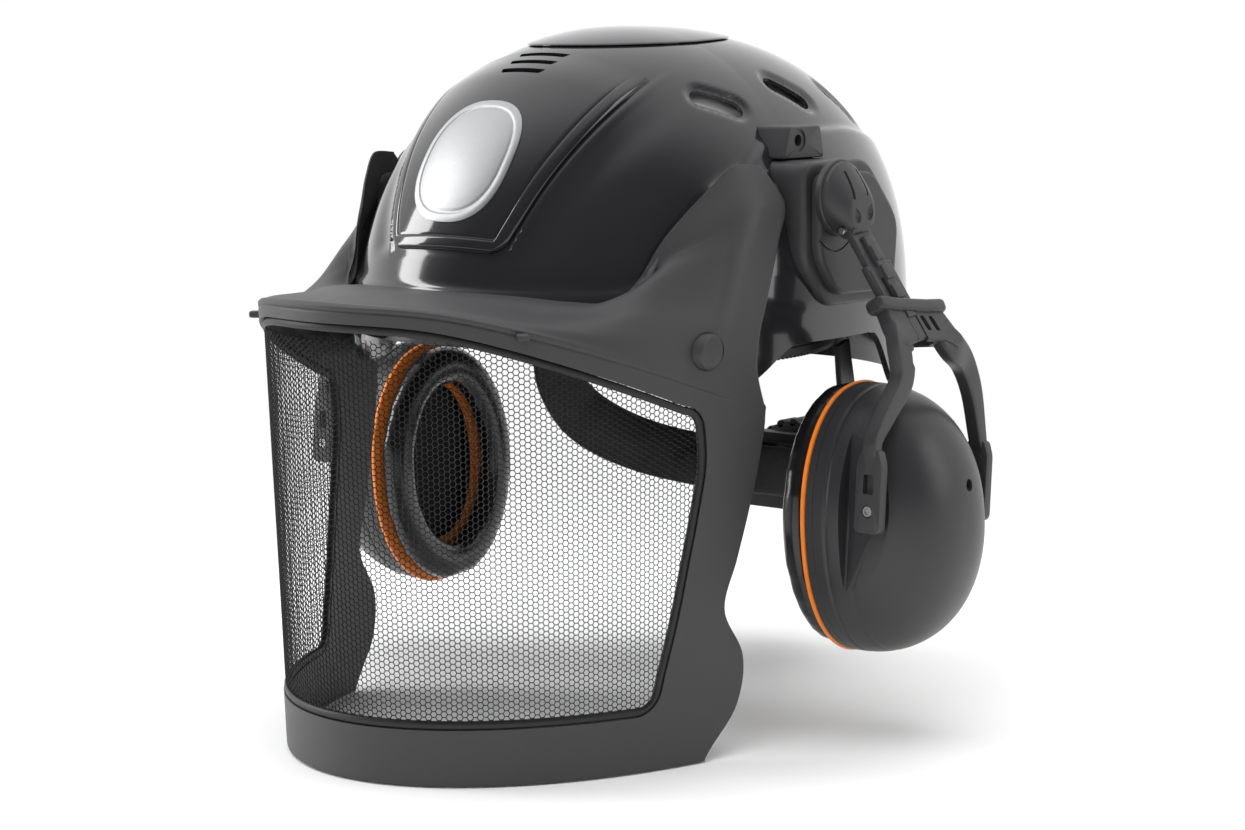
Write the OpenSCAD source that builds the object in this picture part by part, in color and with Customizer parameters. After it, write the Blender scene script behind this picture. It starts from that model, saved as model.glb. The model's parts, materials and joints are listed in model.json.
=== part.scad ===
// Forestry hard hat with a lifting mesh visor and two swing-out ear muffs.
// Millimetres. X is the wearer's left, -Y the front, +Z up.
// The origin is the head's centre at the level of the ear arches.

/* [Shell] */
// Half width of the shell at the rim
shell_w = 105.5; // [100:0.5:108]
// Length of the shell in front of its middle
shell_front = 126; // [122:1:128]
// Length of the shell behind its middle
shell_rear = 146.5; // [140:0.5:150]
// Height of the crown above the origin
shell_top = 129; // [125:1:132]
// Wall thickness of the shell
shell_wall = 3; // [2.5:0.5:3.5]
// How far the lower side band stands out
band_step = 2; // [1:0.5:2.5]

/* [Visor] */
// Half width of the visor curve
visor_a = 111; // [108:1:114]
// Depth of the visor curve
visor_b = 182.5; // [178:0.5:186]
// Height of the visor's lower edge
visor_bottom = -167; // [-172:1:-160]
// Lower edge of the mesh opening
open_bottom = -144; // [-150:1:-140]
// Wall thickness of the visor frame
frame_wall = 3.2; // [2.6:0.2:3.6]
// Thickness of the mesh sheet
mesh_wall = 0.6; // [0.5:0.1:1.2]
// Radius of the visor hinge pins
visor_pin_r = 4; // [3:0.5:5]

/* [Ear muffs] */
// Rearward lean of the muff arms in degrees
lean = 6; // [4:1:8]
// Outward flare of the muff arms in degrees
flare = 31; // [29:1:33]
// Half height of the cup at its base
cup_h = 57; // [54:0.5:59]
// Half width of the cup at its base
cup_w = 43; // [42:0.5:44]
// Depth of the cup outside its base
cup_depth = 47; // [44:1:49]
// Thickness of the ear cushion
cushion_t = 14; // [10:1:15]
// Radius of the fork's pivot pins
fork_pin_r = 2.5; // [2:0.5:3]

/* [Harness] */
// Half width inside the headband
band_w = 79; // [76:1:81]
// Half length inside the headband
band_l = 99; // [96:1:102]
// Height of the headband
band_h = 28; // [24:1:32]
// Radius of the size knob
knob_r = 23; // [20:1:24]
// Bore radius of the accessory sockets
socket_r = 2.5; // [2:0.25:3]

/* [Hidden] */

gap = 0.3;              // air between pieces that move past each other
run = 0.05;             // radial clearance of a pin in its bore
matte = "#3a3a3c";
gloss = "#1b1b1d";
soft = "#141416";
orange = "#e8711a";

// shell frame
shell_y = -4;
shell_base = 2.6;
plan_front = 2.07;
plan_rear = 2.16;
rise_side = 2.2;
rise_front = 2.06;
rise_rear = 2.54;
shell_cols = 64;
shell_rings = 17;

// visor frame
visor_y = -8.7;
visor_lean = 0.03 / 108;   // growth of the visor curve for each mm of height
visor_ref = -86;           // height at which the visor curve has its named size
hinge_y = -48;
hinge_z = 56;
hub_r = 9;
lip_h = 6.8;
mesh_gap = 0.4;

// muff frame
swivel_y = -10;
swivel_z = 60;
arm_x = 124;
arm_z = -12;
bar_len = 38;              // along the arm from its hinge to the middle of the crossbar
fork_x = 152;
fork_z = -127;
cup_z = -135;
ring_x = 119;
leg_in = 38.5;
fork_turn = -10;
bar_turn = -14;

// harness
nape_z = -80;
nape_y = 116;
housing_y = 117.4;

// ---------- helpers ----------
function mix(a, b, t) = a + (b - a) * t;
function clamp01(t) = min(1, max(0, t));
function ease(t) = let (c = clamp01(t)) c * c * (3 - 2 * c);
function unit(v) = v / norm(v);
function flat(l) = [for (a = l) each a];
function quad(a, b, c, d) = [[a, b, c], [a, c, d]];
// Catmull-Rom curve through evenly spaced points, t from 0 to 1
function knot(p, i) = p[min(len(p) - 1, max(0, i))];
function curve(p, t) =
    let (n = len(p) - 1, s = min(n - 1e-6, max(0, t * n)), i = floor(s), f = s - i,
         a = knot(p, i - 1), b = knot(p, i), c = knot(p, i + 1), d = knot(p, i + 2))
    0.5 * (2 * b + (c - a) * f + (2 * a - 5 * b + 4 * c - d) * f * f + (3 * b - a - 3 * c + d) * f * f * f);

// Solid stacked from closed rings with flat or fanned ends
module ring_stack(rings) {
    n = len(rings[0]);
    m = len(rings);
    low = [for (k = [0:2]) let (s = [for (p = rings[0]) p[k]]) s * [for (p = s) 1 / n]];
    high = [for (k = [0:2]) let (s = [for (p = rings[m - 1]) p[k]]) s * [for (p = s) 1 / n]];
    polyhedron(concat(flat(rings), [low, high]),
        flat(concat(
            [for (j = [0:m - 2]) for (i = [0:n - 1])
                quad(j * n + i, (j + 1) * n + i, (j + 1) * n + (i + 1) % n, j * n + (i + 1) % n)],
            [for (i = [0:n - 1]) [[n * m, i, (i + 1) % n],
                [n * m + 1, (m - 1) * n + (i + 1) % n, (m - 1) * n + i]]])));
}

// Closed loop swept through matching sections
module ring_sweep(sections) {
    m = len(sections);
    n = len(sections[0]);
    polyhedron(flat(sections),
        flat([for (j = [0:m - 1]) for (i = [0:n - 1])
            quad(j * n + i, ((j + 1) % m) * n + i, ((j + 1) % m) * n + (i + 1) % n, j * n + (i + 1) % n)]));
}

// Wall between two matching grids; cells inside the window [i0, i1, j0, j1] stay open
module wall_grid(outer, inner, window = [1, 0, 1, 0]) {
    ni = len(outer);
    nj = len(outer[0]);
    off = ni * nj;
    function kept(i, j) = i >= 0 && j >= 0 && i < ni - 1 && j < nj - 1
        && !(i >= window[0] && i < window[1] && j >= window[2] && j < window[3]);
    function at(i, j) = i * nj + j;
    polyhedron(concat(flat(outer), flat(inner)),
        flat([for (i = [0:ni - 2]) for (j = [0:nj - 2]) if (kept(i, j)) concat(
            quad(at(i, j), at(i, j + 1), at(i + 1, j + 1), at(i + 1, j)),
            quad(off + at(i, j), off + at(i + 1, j), off + at(i + 1, j + 1), off + at(i, j + 1)),
            kept(i - 1, j) ? [] : quad(at(i, j), off + at(i, j), off + at(i, j + 1), at(i, j + 1)),
            kept(i + 1, j) ? [] : quad(at(i + 1, j), at(i + 1, j + 1), off + at(i + 1, j + 1), off + at(i + 1, j)),
            kept(i, j - 1) ? [] : quad(at(i, j), at(i + 1, j), off + at(i + 1, j), off + at(i, j)),
            kept(i, j + 1) ? [] : quad(at(i, j + 1), off + at(i, j + 1), off + at(i + 1, j + 1), at(i + 1, j + 1)))]));
}

// Outline in the YZ plane, extruded from x0 to x1
module side_plate(points, x0, x1)
    translate([x0, 0, 0]) rotate([90, 0, 90]) linear_extrude(x1 - x0) polygon(points);
function oval(a, b, n = 72, e = 2) =
    [for (i = [0:n - 1]) let (t = 360 * i / n, c = cos(t), s = sin(t))
        [a * sign(c) * pow(abs(c), 2 / e), b * sign(s) * pow(abs(s), 2 / e)]];
function rounded(pts, r, n = 5) =
    [for (i = [0:len(pts) - 1])
        let (p = pts[i], a = unit(pts[(i + len(pts) - 1) % len(pts)] - p), b = unit(pts[(i + 1) % len(pts)] - p))
        for (k = [0:n]) let (f = k / n) p + r * (a * (1 - f) * (1 - f) + b * f * f)];
module on_side(side) mirror([side < 0 ? 1 : 0, 0, 0]) children();

// ---------- shell surface ----------
// A direction is [a, c, h]: across, along (front negative) and up, in shell half sizes
function shell_sum(d) =
    let (a = abs(d[0]), c = abs(d[1]), h = max(0, d[2]), front = d[1] < 0,
         n = front ? plan_front : plan_rear,
         k = c / max(1e-6, norm([a, c])),
         m = rise_side + ((front ? rise_front : rise_rear) - rise_side) * k)
    pow(pow(a, n) + pow(c, n), m / n) + pow(h, m);
function reach(d, lo = 0.5, hi = 2, k = 16) =
    k == 0 ? (lo + hi) / 2 : let (mid = (lo + hi) / 2)
    shell_sum(d * mid) > 1 ? reach(d, lo, mid, k - 1) : reach(d, mid, hi, k - 1);
function shell_spot(d, off) = let (s = d * reach(d))
    [s[0] * (shell_w + off), shell_y + s[1] * ((s[1] < 0 ? shell_front : shell_rear) + off),
     shell_base + s[2] * (shell_top - shell_base + off)];
// Height of the step line at a place along the shell
function step_line(y) = 24 + 62 * ease((y + 104) / 100) - 14 * ease((y - 40) / 100);
function stepped(d, off) = let (p = shell_spot(d, off))
    shell_spot(d, off + band_step * ease((step_line(p[1]) - p[2]) / 5 + 0.5));
// Lower rim: arched over the ears, deeper at the temples and the nape, high over the forehead
function rim_z(y) = 1.6 * ease((-78 - y) / 30) - 16 * ease((-22 - y) / 34) * (1 - ease((-78 - y) / 30))
    - 27 * ease((y - 34) / 34);
// A point above the shell at a sideways place x and an angle in the middle plane, 0 front, 90 crown
function crown_dir(x, tilt) = let (a = x / shell_w) [a, -cos(tilt), sin(tilt)];
function reach_x(a, tilt, lo = 0, hi = 1.2, k = 16) =
    k == 0 ? (lo + hi) / 2 : let (mid = (lo + hi) / 2)
    shell_sum([a, -cos(tilt) * mid, sin(tilt) * mid]) > 1
        ? reach_x(a, tilt, lo, mid, k - 1) : reach_x(a, tilt, mid, hi, k - 1);
function crown_spot(x, tilt, off) = let (a = x / shell_w, q = reach_x(a, tilt), c = -cos(tilt) * q)
    [x * (1 + off / shell_w), shell_y + c * ((c < 0 ? shell_front : shell_rear) + off),
     shell_base + sin(tilt) * q * (shell_top - shell_base + off)];

module dome(off, floor_z) {
    function low(y, off) = floor_z == undef ? rim_z(y) : floor_z;
    ring_stack(concat(
        [[for (i = [0:shell_cols - 1]) let (p = stepped([cos(360 * i / shell_cols), sin(360 * i / shell_cols), 0], off))
            [p[0], p[1], low(p[1])]]],
        [for (j = [0:shell_rings - 1]) [for (i = [0:shell_cols - 1])
            let (up = 87 * j / (shell_rings - 1), f = 360 * i / shell_cols)
            stepped([cos(f) * cos(up), sin(f) * cos(up), sin(up)], off)]]));
}

// Oblong cut along the surface normal at a place on the shell
module slot_cut(place, along, length, r, depth = 24) {
    n = unit([place[0] / pow(shell_w, 2), (place[1] - shell_y) / pow(130, 2), (place[2] - shell_base) / pow(126, 2)]);
    b = unit(cross(n, along));
    t = cross(b, n);
    multmatrix([[t[0], b[0], n[0], place[0]], [t[1], b[1], n[1], place[1]], [t[2], b[2], n[2], place[2]]])
        hull() for (s = [-1, 1]) translate([s * (length / 2 - r), 0, -depth / 2])
            cylinder(h = depth, r = r, $fn = 24);
}
side_vents = [[69, -29, 99], [69.5, 21, 102.5], [60, 66, 95]];
module side_vent_cuts(side, r, length)
    on_side(side) for (v = side_vents) slot_cut(v, [0.45, 0.8, -0.35], length, r);
front_slots = [-72, -65.5, -59];
module front_slot_cuts()
    for (y = front_slots) slot_cut([0, y, 113 + (y + 65.5) * 0.6], [1, 0, 0], 23, 1.7);

module shell() {
    color(gloss) difference() {
        dome(0);
        dome(-shell_wall, -60);
        side_vent_cuts(1, 4.5, 25);
        side_vent_cuts(-1, 4.5, 25);
        front_slot_cuts();
    }
}

// Raised plate on the forehead, from above the brim to the crown
function panel_half(t) = curve([30, 35, 39.5, 43.5, 46.5, 48.5, 49.5], t);
module front_panel() {
    function grid(off) = [for (i = [0:16]) [for (j = [0:14])
        crown_spot(panel_half(j / 14) * (i / 8 - 1), mix(17, 66, j / 14), off)]];
    color(gloss) difference() {
        wall_grid(grid(2), grid(0.1));
        front_slot_cuts();
    }
}

// Blank oval badge on the front panel
module badge() {
    function grid(off) = [for (i = [0:10]) [for (j = [0:10])
        let (s = i / 5 - 1, t = j / 5 - 1)
        crown_spot(23 * s * sqrt(1 - t * t / 2), 35 + 13 * t * sqrt(1 - s * s / 2), off)]];
    color("silver") wall_grid(grid(3), grid(2.1));
}

module crown_insert() {
    function grid(off) = [for (i = [0:10]) [for (j = [0:10])
        let (s = i / 5 - 1, t = j / 5 - 1)
        crown_spot(38 * s * sqrt(1 - t * t / 2), 90 + 21 * t * sqrt(1 - s * s / 2), off)]];
    color(matte) wall_grid(grid(1), grid(0.35));
}

// Thin grey liner behind the side vents
module vent_liner(side) {
    function spot(y, h, off) = let (a = (y - shell_y) / (y < shell_y ? shell_front : shell_rear))
        stepped([cos(h) * sqrt(max(0.02, 1 - a * a)), a, sin(h)], off);
    function grid(off) = [for (i = [0:10]) [for (j = [0:4]) spot(mix(-46, 84, i / 10), mix(44, 62, j / 4), off)]];
    color("dimgray") on_side(side) wall_grid(grid(-shell_wall - 3.5), grid(-shell_wall - 5));
}

// Accessory socket above each ear with a round hole
socket_at = [95, -8, 83];
module socket(side) {
    outline = rounded([[-22, 75.5], [8, 75.5], [5, 89], [-18, 89]], 1.5);
    color(matte) difference() {
        on_side(side) difference() {
            side_plate(outline, 80, 97.5);
            translate([socket_at[0] - 4, socket_at[1] - 3, socket_at[2]]) rotate([0, 90, 0])
                cylinder(h = 8, r = socket_r, $fn = 48);
        }
        dome(0.1, -60);
    }
}

// Rounded block that carries the ear muff, with the swivel's recess and bore
module muff_mount(side) {
    outline = rounded([[-25, 75], [22, 75], [46, 50], [42, 14], [-8, 14], [-25, 34]], 7);
    core = rounded([[-20, 70], [20, 70], [40, 48], [37, 19], [-6, 19], [-20, 36]], 7);
    color(matte) difference() {
        on_side(side) difference() {
            union() {
                side_plate(outline, 88, 110);
                side_plate(core, 110, 114.5);
            }
            translate([108, swivel_y, swivel_z]) rotate([0, 90, 0]) cylinder(h = 10, r = 8, $fn = 64);
        }
        dome(0.1, -60);
    }
}

// Plate under the visor's ear, with the hinge pin
module visor_adapter(side) {
    outline = rounded([[-58, 40], [-50, 66], [-25.5, 66], [-25.5, 30], [-31, 24], [-44, 24]], 3);
    color(matte) {
        difference() {
            on_side(side) side_plate(outline, 88, 98.6);
            dome(0.1, -60);
        }
        on_side(side) translate([98.5, hinge_y, hinge_z]) rotate([0, 90, 0])
            cylinder(h = 3.2, r = visor_pin_r, $fn = 64);
    }
}

// ---------- harness ----------
module band_ring(w, l, thick, z0, z1, n = 96) {
    translate([0, 2, z0]) linear_extrude(z1 - z0) difference() {
        polygon(oval(w + thick, l + thick, n, 2.1));
        polygon(oval(w, l, n, 2.1));
    }
}
// Wedge under the front of the band, whose lower edge rises to the forehead
module front_rise(z0) {
    translate([-100, 0, 0]) rotate([90, 0, 90]) linear_extrude(200)
        polygon([[-130, z0 - 10], [-20, z0 - 10], [-20, z0], [-76, z0 + 13], [-130, z0 + 13]]);
}
module headband() {
    color(soft) difference() {
        band_ring(band_w, band_l, 2, -10, band_h - 10);
        front_rise(-10);
        for (s = [-1, 1]) for (k = [-1, 0, 1])
            translate([s * 80, 14 + 26 * k, 4]) cube([20, 14, 5], center = true);
        for (s = [-1, 1]) translate([s * 30, 100, 4]) cube([22, 20, 5], center = true);
    }
}
module sweatband() {
    color(soft) difference() {
        band_ring(band_w - 4.3, band_l - 4.3, 4, -13, band_h - 8);
        translate([-90, -24, -20]) cube([180, 130, 60]);
        front_rise(-13);
    }
}
clip_turns = [35, 90, 145];
function clip_r(turn) = let (c = cos(turn), s = sin(turn)) 1 / norm([c / 90, s / 111]);
module crown_strap(turn, lift) {
    r = clip_r(turn);
    peak = 99 + lift;
    top = [for (i = [0:28]) let (t = 180 * i / 28) [(r + 0.6) * cos(t), 20.3 + (peak + 1.2 - 20.3) * pow(sin(t), 0.8)]];
    low = [for (i = [28:-1:0]) let (t = 180 * i / 28) [(r - 0.6) * cos(t), 20.3 + (peak - 20.3) * pow(sin(t), 0.8)]];
    color(soft) translate([0, 2, 0]) rotate([90, 0, turn + 180]) translate([0, 0, -9])
        linear_extrude(18) polygon(concat(top, low));
}
module crown_pad() {
    color(soft) translate([0, 2, 91.5]) difference() {
        cylinder(h = 4, r = 26, $fn = 64);
        translate([0, 0, -1]) cylinder(h = 6, r = 9, $fn = 48);
    }
}
module harness_clips() {
    color(matte) translate([0, 2, 0]) for (t = clip_turns) for (s = [0, 180])
        rotate([0, 0, t + s]) translate([clip_r(t), 0, 11]) difference() {
            cube([9, 20, 18], center = true);
            translate([0, 0, -3]) cube([4, 14, 16], center = true);
        }
}

nape_route = [[83, 44, -6], [83.5, 46, -22], [82.5, 52, -40], [77, 66, -57], [62, 88, -71], [34, 108, -79], [0, 115, -80]];
function nape_mid(t) = t < 0 ? let (p = curve(nape_route, 1 + t)) [-p[0], p[1], p[2]] : curve(nape_route, 1 - t);
module nape_strap() {
    function ring(t) = let (p = nape_mid(t), d = unit(nape_mid(t + 0.01) - nape_mid(t - 0.01)),
        out = unit([p[0] / 85, (p[1] - 10) / 108, 0]), side = unit(cross(d, out)), n = cross(side, d),
        h = mix(13, 8, abs(t)))
        [p + n * 1.2 + side * h, p - n * 1.2 + side * h, p - n * 1.2 - side * h, p + n * 1.2 - side * h];
    color(soft) ring_stack([for (i = [0:40]) ring(mix(0.98, -0.98, i / 40))]);
}
module nape_pad() {
    function ring(t) = let (x = 46 * t, y = nape_y - 6.4 - 17 * t * t, h = 17 * sqrt(1 - 0.8 * t * t))
        [for (k = [0:11]) let (f = 30 * k) [x, y + 3 * sin(f), nape_z + h * cos(f)]];
    color(soft) ring_stack([for (i = [0:16]) ring(mix(-1, 1, i / 16))]);
}
module knob_housing() {
    outline = rounded([[-42, -15], [-42, 12], [-30, 17], [30, 17], [42, 12], [42, -15], [26, -20], [-26, -20]], 5);
    color(matte) translate([0, housing_y, nape_z]) difference() {
        rotate([-90, 0, 0]) linear_extrude(9) polygon([for (p = outline) [p[0], -p[1]]]);
        translate([0, 1, 0]) rotate([-90, 0, 0]) cylinder(h = 10, r = 5.05, $fn = 64);
    }
}
module size_knob() {
    color(gloss) translate([0, housing_y + 9 + gap, nape_z]) rotate([-90, 0, 0]) {
        difference() {
            cylinder(h = 13, r = knob_r, $fn = 96);
            for (k = [0:17]) rotate([0, 0, 20 * k]) translate([knob_r + 1.2, 0, -1]) cylinder(h = 20, r = 2.4, $fn = 24);
        }
        translate([0, 0, -7.6]) cylinder(h = 7.8, r = 5, $fn = 64);
    }
}

// ---------- visor ----------
function visor_k(z) = 1 + visor_lean * (z - visor_ref);
function visor_spot(turn, z, off = 0) =
    [(visor_a * visor_k(z) + off) * sin(turn), visor_y - (visor_b * visor_k(z) + off) * cos(turn), z];
function visor_turn(y, z) = acos(max(-1, min(1, (visor_y - y) / (visor_b * visor_k(z)))));
// Height of the lip's lower edge: level in front, falling 20 degrees along the sides
function lip_z(turn) = let (y = visor_y - visor_b * cos(turn), s = -12.4 - 0.364 * (y + 98))
    (17 + s - sqrt(pow(17 - s, 2) + 16)) / 2;
// Rear edge of the frame from the lip down to the lower corner, evenly spaced in height
rear_edge = [-50, -53, -58, -64, -70, -59, -62, -78];
function rear_y(f) = curve(rear_edge, f);
open_edge = [-84, -82, -85, -89, -93, -98, -104, -122];
function open_y(f) = curve(open_edge, f);

// Inner edge of the brim and upper edge of the ear, front middle to ear end
ear_edge = [[0, -132, 24], [22, -130.5, 24], [43, -124, 23], [60, -114, 21], [72, -103, 21], [79, -95, 30],
    [84.5, -88, 45], [90, -80, 55], [96, -71, 65], [101, -60, 74.5], [104, -44.5, 74]];
// Rear edge of the ear, from the frame up to the ear's end
ear_rear = [[110, -51, -22.7], [109.5, -55.5, -8], [108.5, -53, 6], [107, -45, 22], [106, -36.5, 43], [105.5, -31.5, 59],
    [104, -44.5, 74]];
frame_cols = 26;
open_cols = 20;
brim_rows = 8;
low_rows = 10;
open_turn = 67.3;
end_turn = 76.8;
function col_turn(i) = i <= open_cols ? open_turn * i / open_cols
    : mix(open_turn, end_turn, (i - open_cols) / (frame_cols - open_cols));
function crease(u) = let (turn = col_turn(u * frame_cols)) visor_spot(turn, lip_z(turn) + lip_h, 1.5 * (1 - u));
function brim_spot(u, v) =
    let (b = crease(u), i = curve(ear_edge, u), r = curve(ear_rear, v),
         l = [0, mix(crease(0)[1], ear_edge[0][1], v), 24 + 1.6 * sin(180 * v)],
         swell = 5 * sin(180 * pow(v, 1.3)) * ease((u - 0.45) / 0.35) * (1 - ease((u - 0.8) / 0.2)))
    (1 - v) * b + v * i + (1 - u) * l + u * r
        - ((1 - u) * (1 - v) * crease(0) + u * (1 - v) * ear_rear[0]
           + (1 - u) * v * ear_edge[0] + u * v * ear_edge[len(ear_edge) - 1])
        + [swell, 0, 0];
function brim_normal(u, v) = let (e = 0.02, u0 = max(0, u - e), u1 = min(1, u + e), v0 = max(0, v - e), v1 = min(1, v + e))
    unit(cross(brim_spot(u1, v) - brim_spot(u0, v), brim_spot(u, v1) - brim_spot(u, v0)));
// Turn at which the mesh opening ends and at which the frame ends, at a height
function edge_share(z) = clamp01((z + 22) / (visor_bottom + 22));
function open_end(z) = visor_turn(curve(open_edge, edge_share(z)), z);
function rear_end(z) = visor_turn(curve(rear_edge, edge_share(z)), z);
// One point of the frame's wall, d inside its outer face; rows count up from the lower edge
function frame_point(i, j, d) =
    let (u = i / frame_cols, turn = col_turn(i), up = [0, 0, 1], out = [sin(turn), -cos(turn), 0])
    j > low_rows + 1 ? let (v = (j - low_rows - 1) / brim_rows) brim_spot(u, v) - brim_normal(u, v) * d
    : j == low_rows + 1 ? crease(u) - (out + up * (1 - u)) * d
    : let (z = j == 0 ? visor_bottom : mix(open_bottom, lip_z(turn), (j - 1) / (low_rows - 1)),
           t0 = open_end(z), t1 = rear_end(z), share = (i - open_cols) / (frame_cols - open_cols))
    visor_spot(share <= 0 ? t0 * i / open_cols : mix(t0, t1, share), z, (j == low_rows ? 1.5 * (1 - u) : 0) - d);
module visor_frame() {
    rows = low_rows + 1 + brim_rows;
    function grid(d) = [for (i = [-frame_cols:frame_cols]) [for (j = [0:rows])
        let (p = frame_point(abs(i), j, d)) [i < 0 ? -p[0] : p[0], p[1], p[2]]]];
    color(matte) difference() {
        union() {
            wall_grid(grid(0), grid(frame_wall), [frame_cols - open_cols, frame_cols + open_cols, 1, low_rows]);
            for (s = [-1, 1]) on_side(s) translate([99.3, hinge_y, hinge_z]) rotate([0, 90, 0])
                cylinder(h = 1.9, r = hub_r, $fn = 64);
        }
        for (s = [-1, 1]) on_side(s) {
            translate([95, hinge_y, hinge_z]) rotate([0, 90, 0]) cylinder(h = 7, r = visor_pin_r + run, $fn = 64);
            translate([95, button_y, button_z]) rotate([0, 90, 0]) cylinder(h = 20, r = button_r + gap, $fn = 64);
        }
    }
}
button_y = -84;
button_z = 2;
button_r = 7.4;
module visor_button(side) {
    color(matte) on_side(side) translate([0, button_y, button_z]) rotate([0, 90, 0]) {
        translate([0, 0, 97.4]) cylinder(h = 10.1, r = button_r, $fn = 64);
        translate([0, 0, 95.6]) cylinder(h = 2, r = button_r + 2, $fn = 64);
    }
}
module visor_mesh() {
    function grid(d) = [for (i = [-24:24]) [for (j = [0:6])
        let (turn = (open_turn + 2) * i / 24, z = mix(open_bottom - 6, lip_z(abs(turn)) + 2, j / 6),
             t = (open_end(z) + 2) * i / 24)
        visor_spot(t, z, -frame_wall - mesh_gap - d)]];
    color("black") wall_grid(grid(0), grid(mesh_wall));
}
// Spots around the mesh opening, set in from its edge
function rim_loop(inset, off) = let (lower = open_bottom + inset, upper = lip_z(open_turn) - inset,
        n = 2 * open_cols, m = low_rows - 1, back = inset / 2.4) concat(
    [for (i = [0:n - 1]) visor_spot((open_end(lower) - back) * (2 * i / n - 1), lower, off)],
    [for (i = [0:m - 1]) let (z = mix(lower, upper, i / m)) visor_spot(open_end(z) - back, z, off)],
    [for (i = [0:n - 1]) let (f = 1 - 2 * i / n, z = lip_z(open_turn * abs(f)) - inset)
        visor_spot((open_end(z) - back) * f, z, off)],
    [for (i = [0:m - 1]) let (z = mix(upper, lower, i / m)) visor_spot(back - open_end(z), z, off)]);
module visor_gasket() {
    a = rim_loop(0.5, -1);
    b = rim_loop(0.5, -frame_wall);
    c = rim_loop(3.8, -frame_wall);
    d = rim_loop(3.8, -1);
    color("black") ring_sweep([for (i = [0:len(a) - 1]) [a[i], b[i], c[i], d[i]]]);
}

// ---------- ear muffs, drawn for the left side ----------
module muff(side) on_side(side) translate([0, swivel_y, swivel_z]) rotate([lean, 0, 0]) children();
module arm_frame() translate([arm_x, 0, arm_z]) rotate([0, -flare, 0]) children();
// The fork and its pins sit lower at the rear
module fork_level() translate([0, 0, fork_z]) rotate([fork_turn, 0, 0]) translate([0, 0, -fork_z]) children();
module bar_frame() arm_frame() translate([0, 0, -bar_len]) rotate([bar_turn, 0, 0]) children();

module pivot_head(side) {
    color(matte) muff(side) difference() {
        union() {
            translate([108.5, 0, 0]) rotate([0, 90, 0]) cylinder(h = 7, r = 8 - run, $fn = 64);
            hull() {
                translate([114.8, 0, 1]) rotate([0, 90, 0]) cylinder(h = 5, r = 15, $fn = 32);
                translate([114.8, 0, -6]) rotate([0, 90, 0]) cylinder(h = 14, r = 10, $fn = 32);
            }
        }
        translate([arm_x, 0, arm_z]) rotate([90, 0, 0]) cylinder(h = 14.6, r = 4.5, center = true, $fn = 48);
        for (turn = [-10:6:26]) translate([arm_x, 0, arm_z]) rotate([0, -flare - turn, 0])
            translate([-2.6, -7.3, -30]) cube([5.2, 14.6, 30]);
        translate([arm_x, 0, arm_z]) rotate([90, 0, 0]) cylinder(h = 21, r = 1.5, center = true, $fn = 48);
        for (s = [-1, 1]) translate([123, 5 * s, 4]) rotate([-14, -33, 0]) cube([8, 1.2, 14], center = true);
    }
}
module hinge_pin(side) {
    color("gray") muff(side) translate([arm_x, 0, arm_z]) rotate([90, 0, 0])
        cylinder(h = 20.6, r = 1.5, center = true, $fn = 48);
}
module muff_arm(side) {
    color(matte) muff(side) difference() {
        union() {
            translate([arm_x, 0, arm_z]) rotate([90, 0, 0]) cylinder(h = 14, r = 4, center = true, $fn = 48);
            arm_frame() {
                translate([-1.6, -7, -20]) cube([3.2, 14, 18]);
                translate([-1.6, -9, -54]) cube([3.2, 18, 36]);
                translate([1.6, -3, -54]) cube([2, 6, 48]);
                for (k = [0:3]) translate([3.6, -3, -17 - 9 * k]) cube([0.8, 6, 7]);
            }
        }
        translate([arm_x, 0, arm_z]) rotate([90, 0, 0]) cylinder(h = 16, r = 1.5 + run, center = true, $fn = 48);
    }
}
module fork_leg(s) {
    hull() {
        bar_frame() translate([-4, (s > 0 ? 18 : -12.5) - 5, -9]) cube([8, 10, 6]);
        fork_level() translate([fork_x - 4, s * (leg_in + 2.6) - 2.5, fork_z + 24]) cube([8, 5, 2]);
    }
    fork_level() translate([fork_x - 6, s * (leg_in + 2.6) - 2.5, fork_z - 9]) cube([12, 5, 34]);
}
module muff_fork(side) {
    color(matte) muff(side) difference() {
        union() {
            bar_frame() translate([-4.5, -17.5, -6]) cube([10.5, 42.5, 10]);
            fork_leg(-1);
            fork_leg(1);
        }
        arm_frame() translate([-1.6 - gap, -9 - gap, -bar_len - 40]) cube([3.2 + 2 * gap, 18 + 2 * gap, 80]);
        arm_frame() translate([0, -3 - gap, -bar_len - 40]) cube([4.4 + gap, 6 + 2 * gap, 80]);
        fork_level() for (s = [-1, 1]) translate([fork_x, s * (leg_in + 6), fork_z]) rotate([90, 0, 0])
            cylinder(h = 20, r = fork_pin_r, center = true, $fn = 48);
    }
}
module fork_pins(side) {
    color("gray") muff(side) fork_level() for (s = [-1, 1])
        translate([fork_x, s * (leg_in - 1.3), fork_z]) rotate([90, 0, 0])
        cylinder(h = 12.4, r = fork_pin_r, center = true, $fn = 48);
}
function cup_ring(x, w, h, n = 48) = [for (p = oval(w, h, n, 2.15)) [x, p[0], cup_z + p[1]]];
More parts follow.
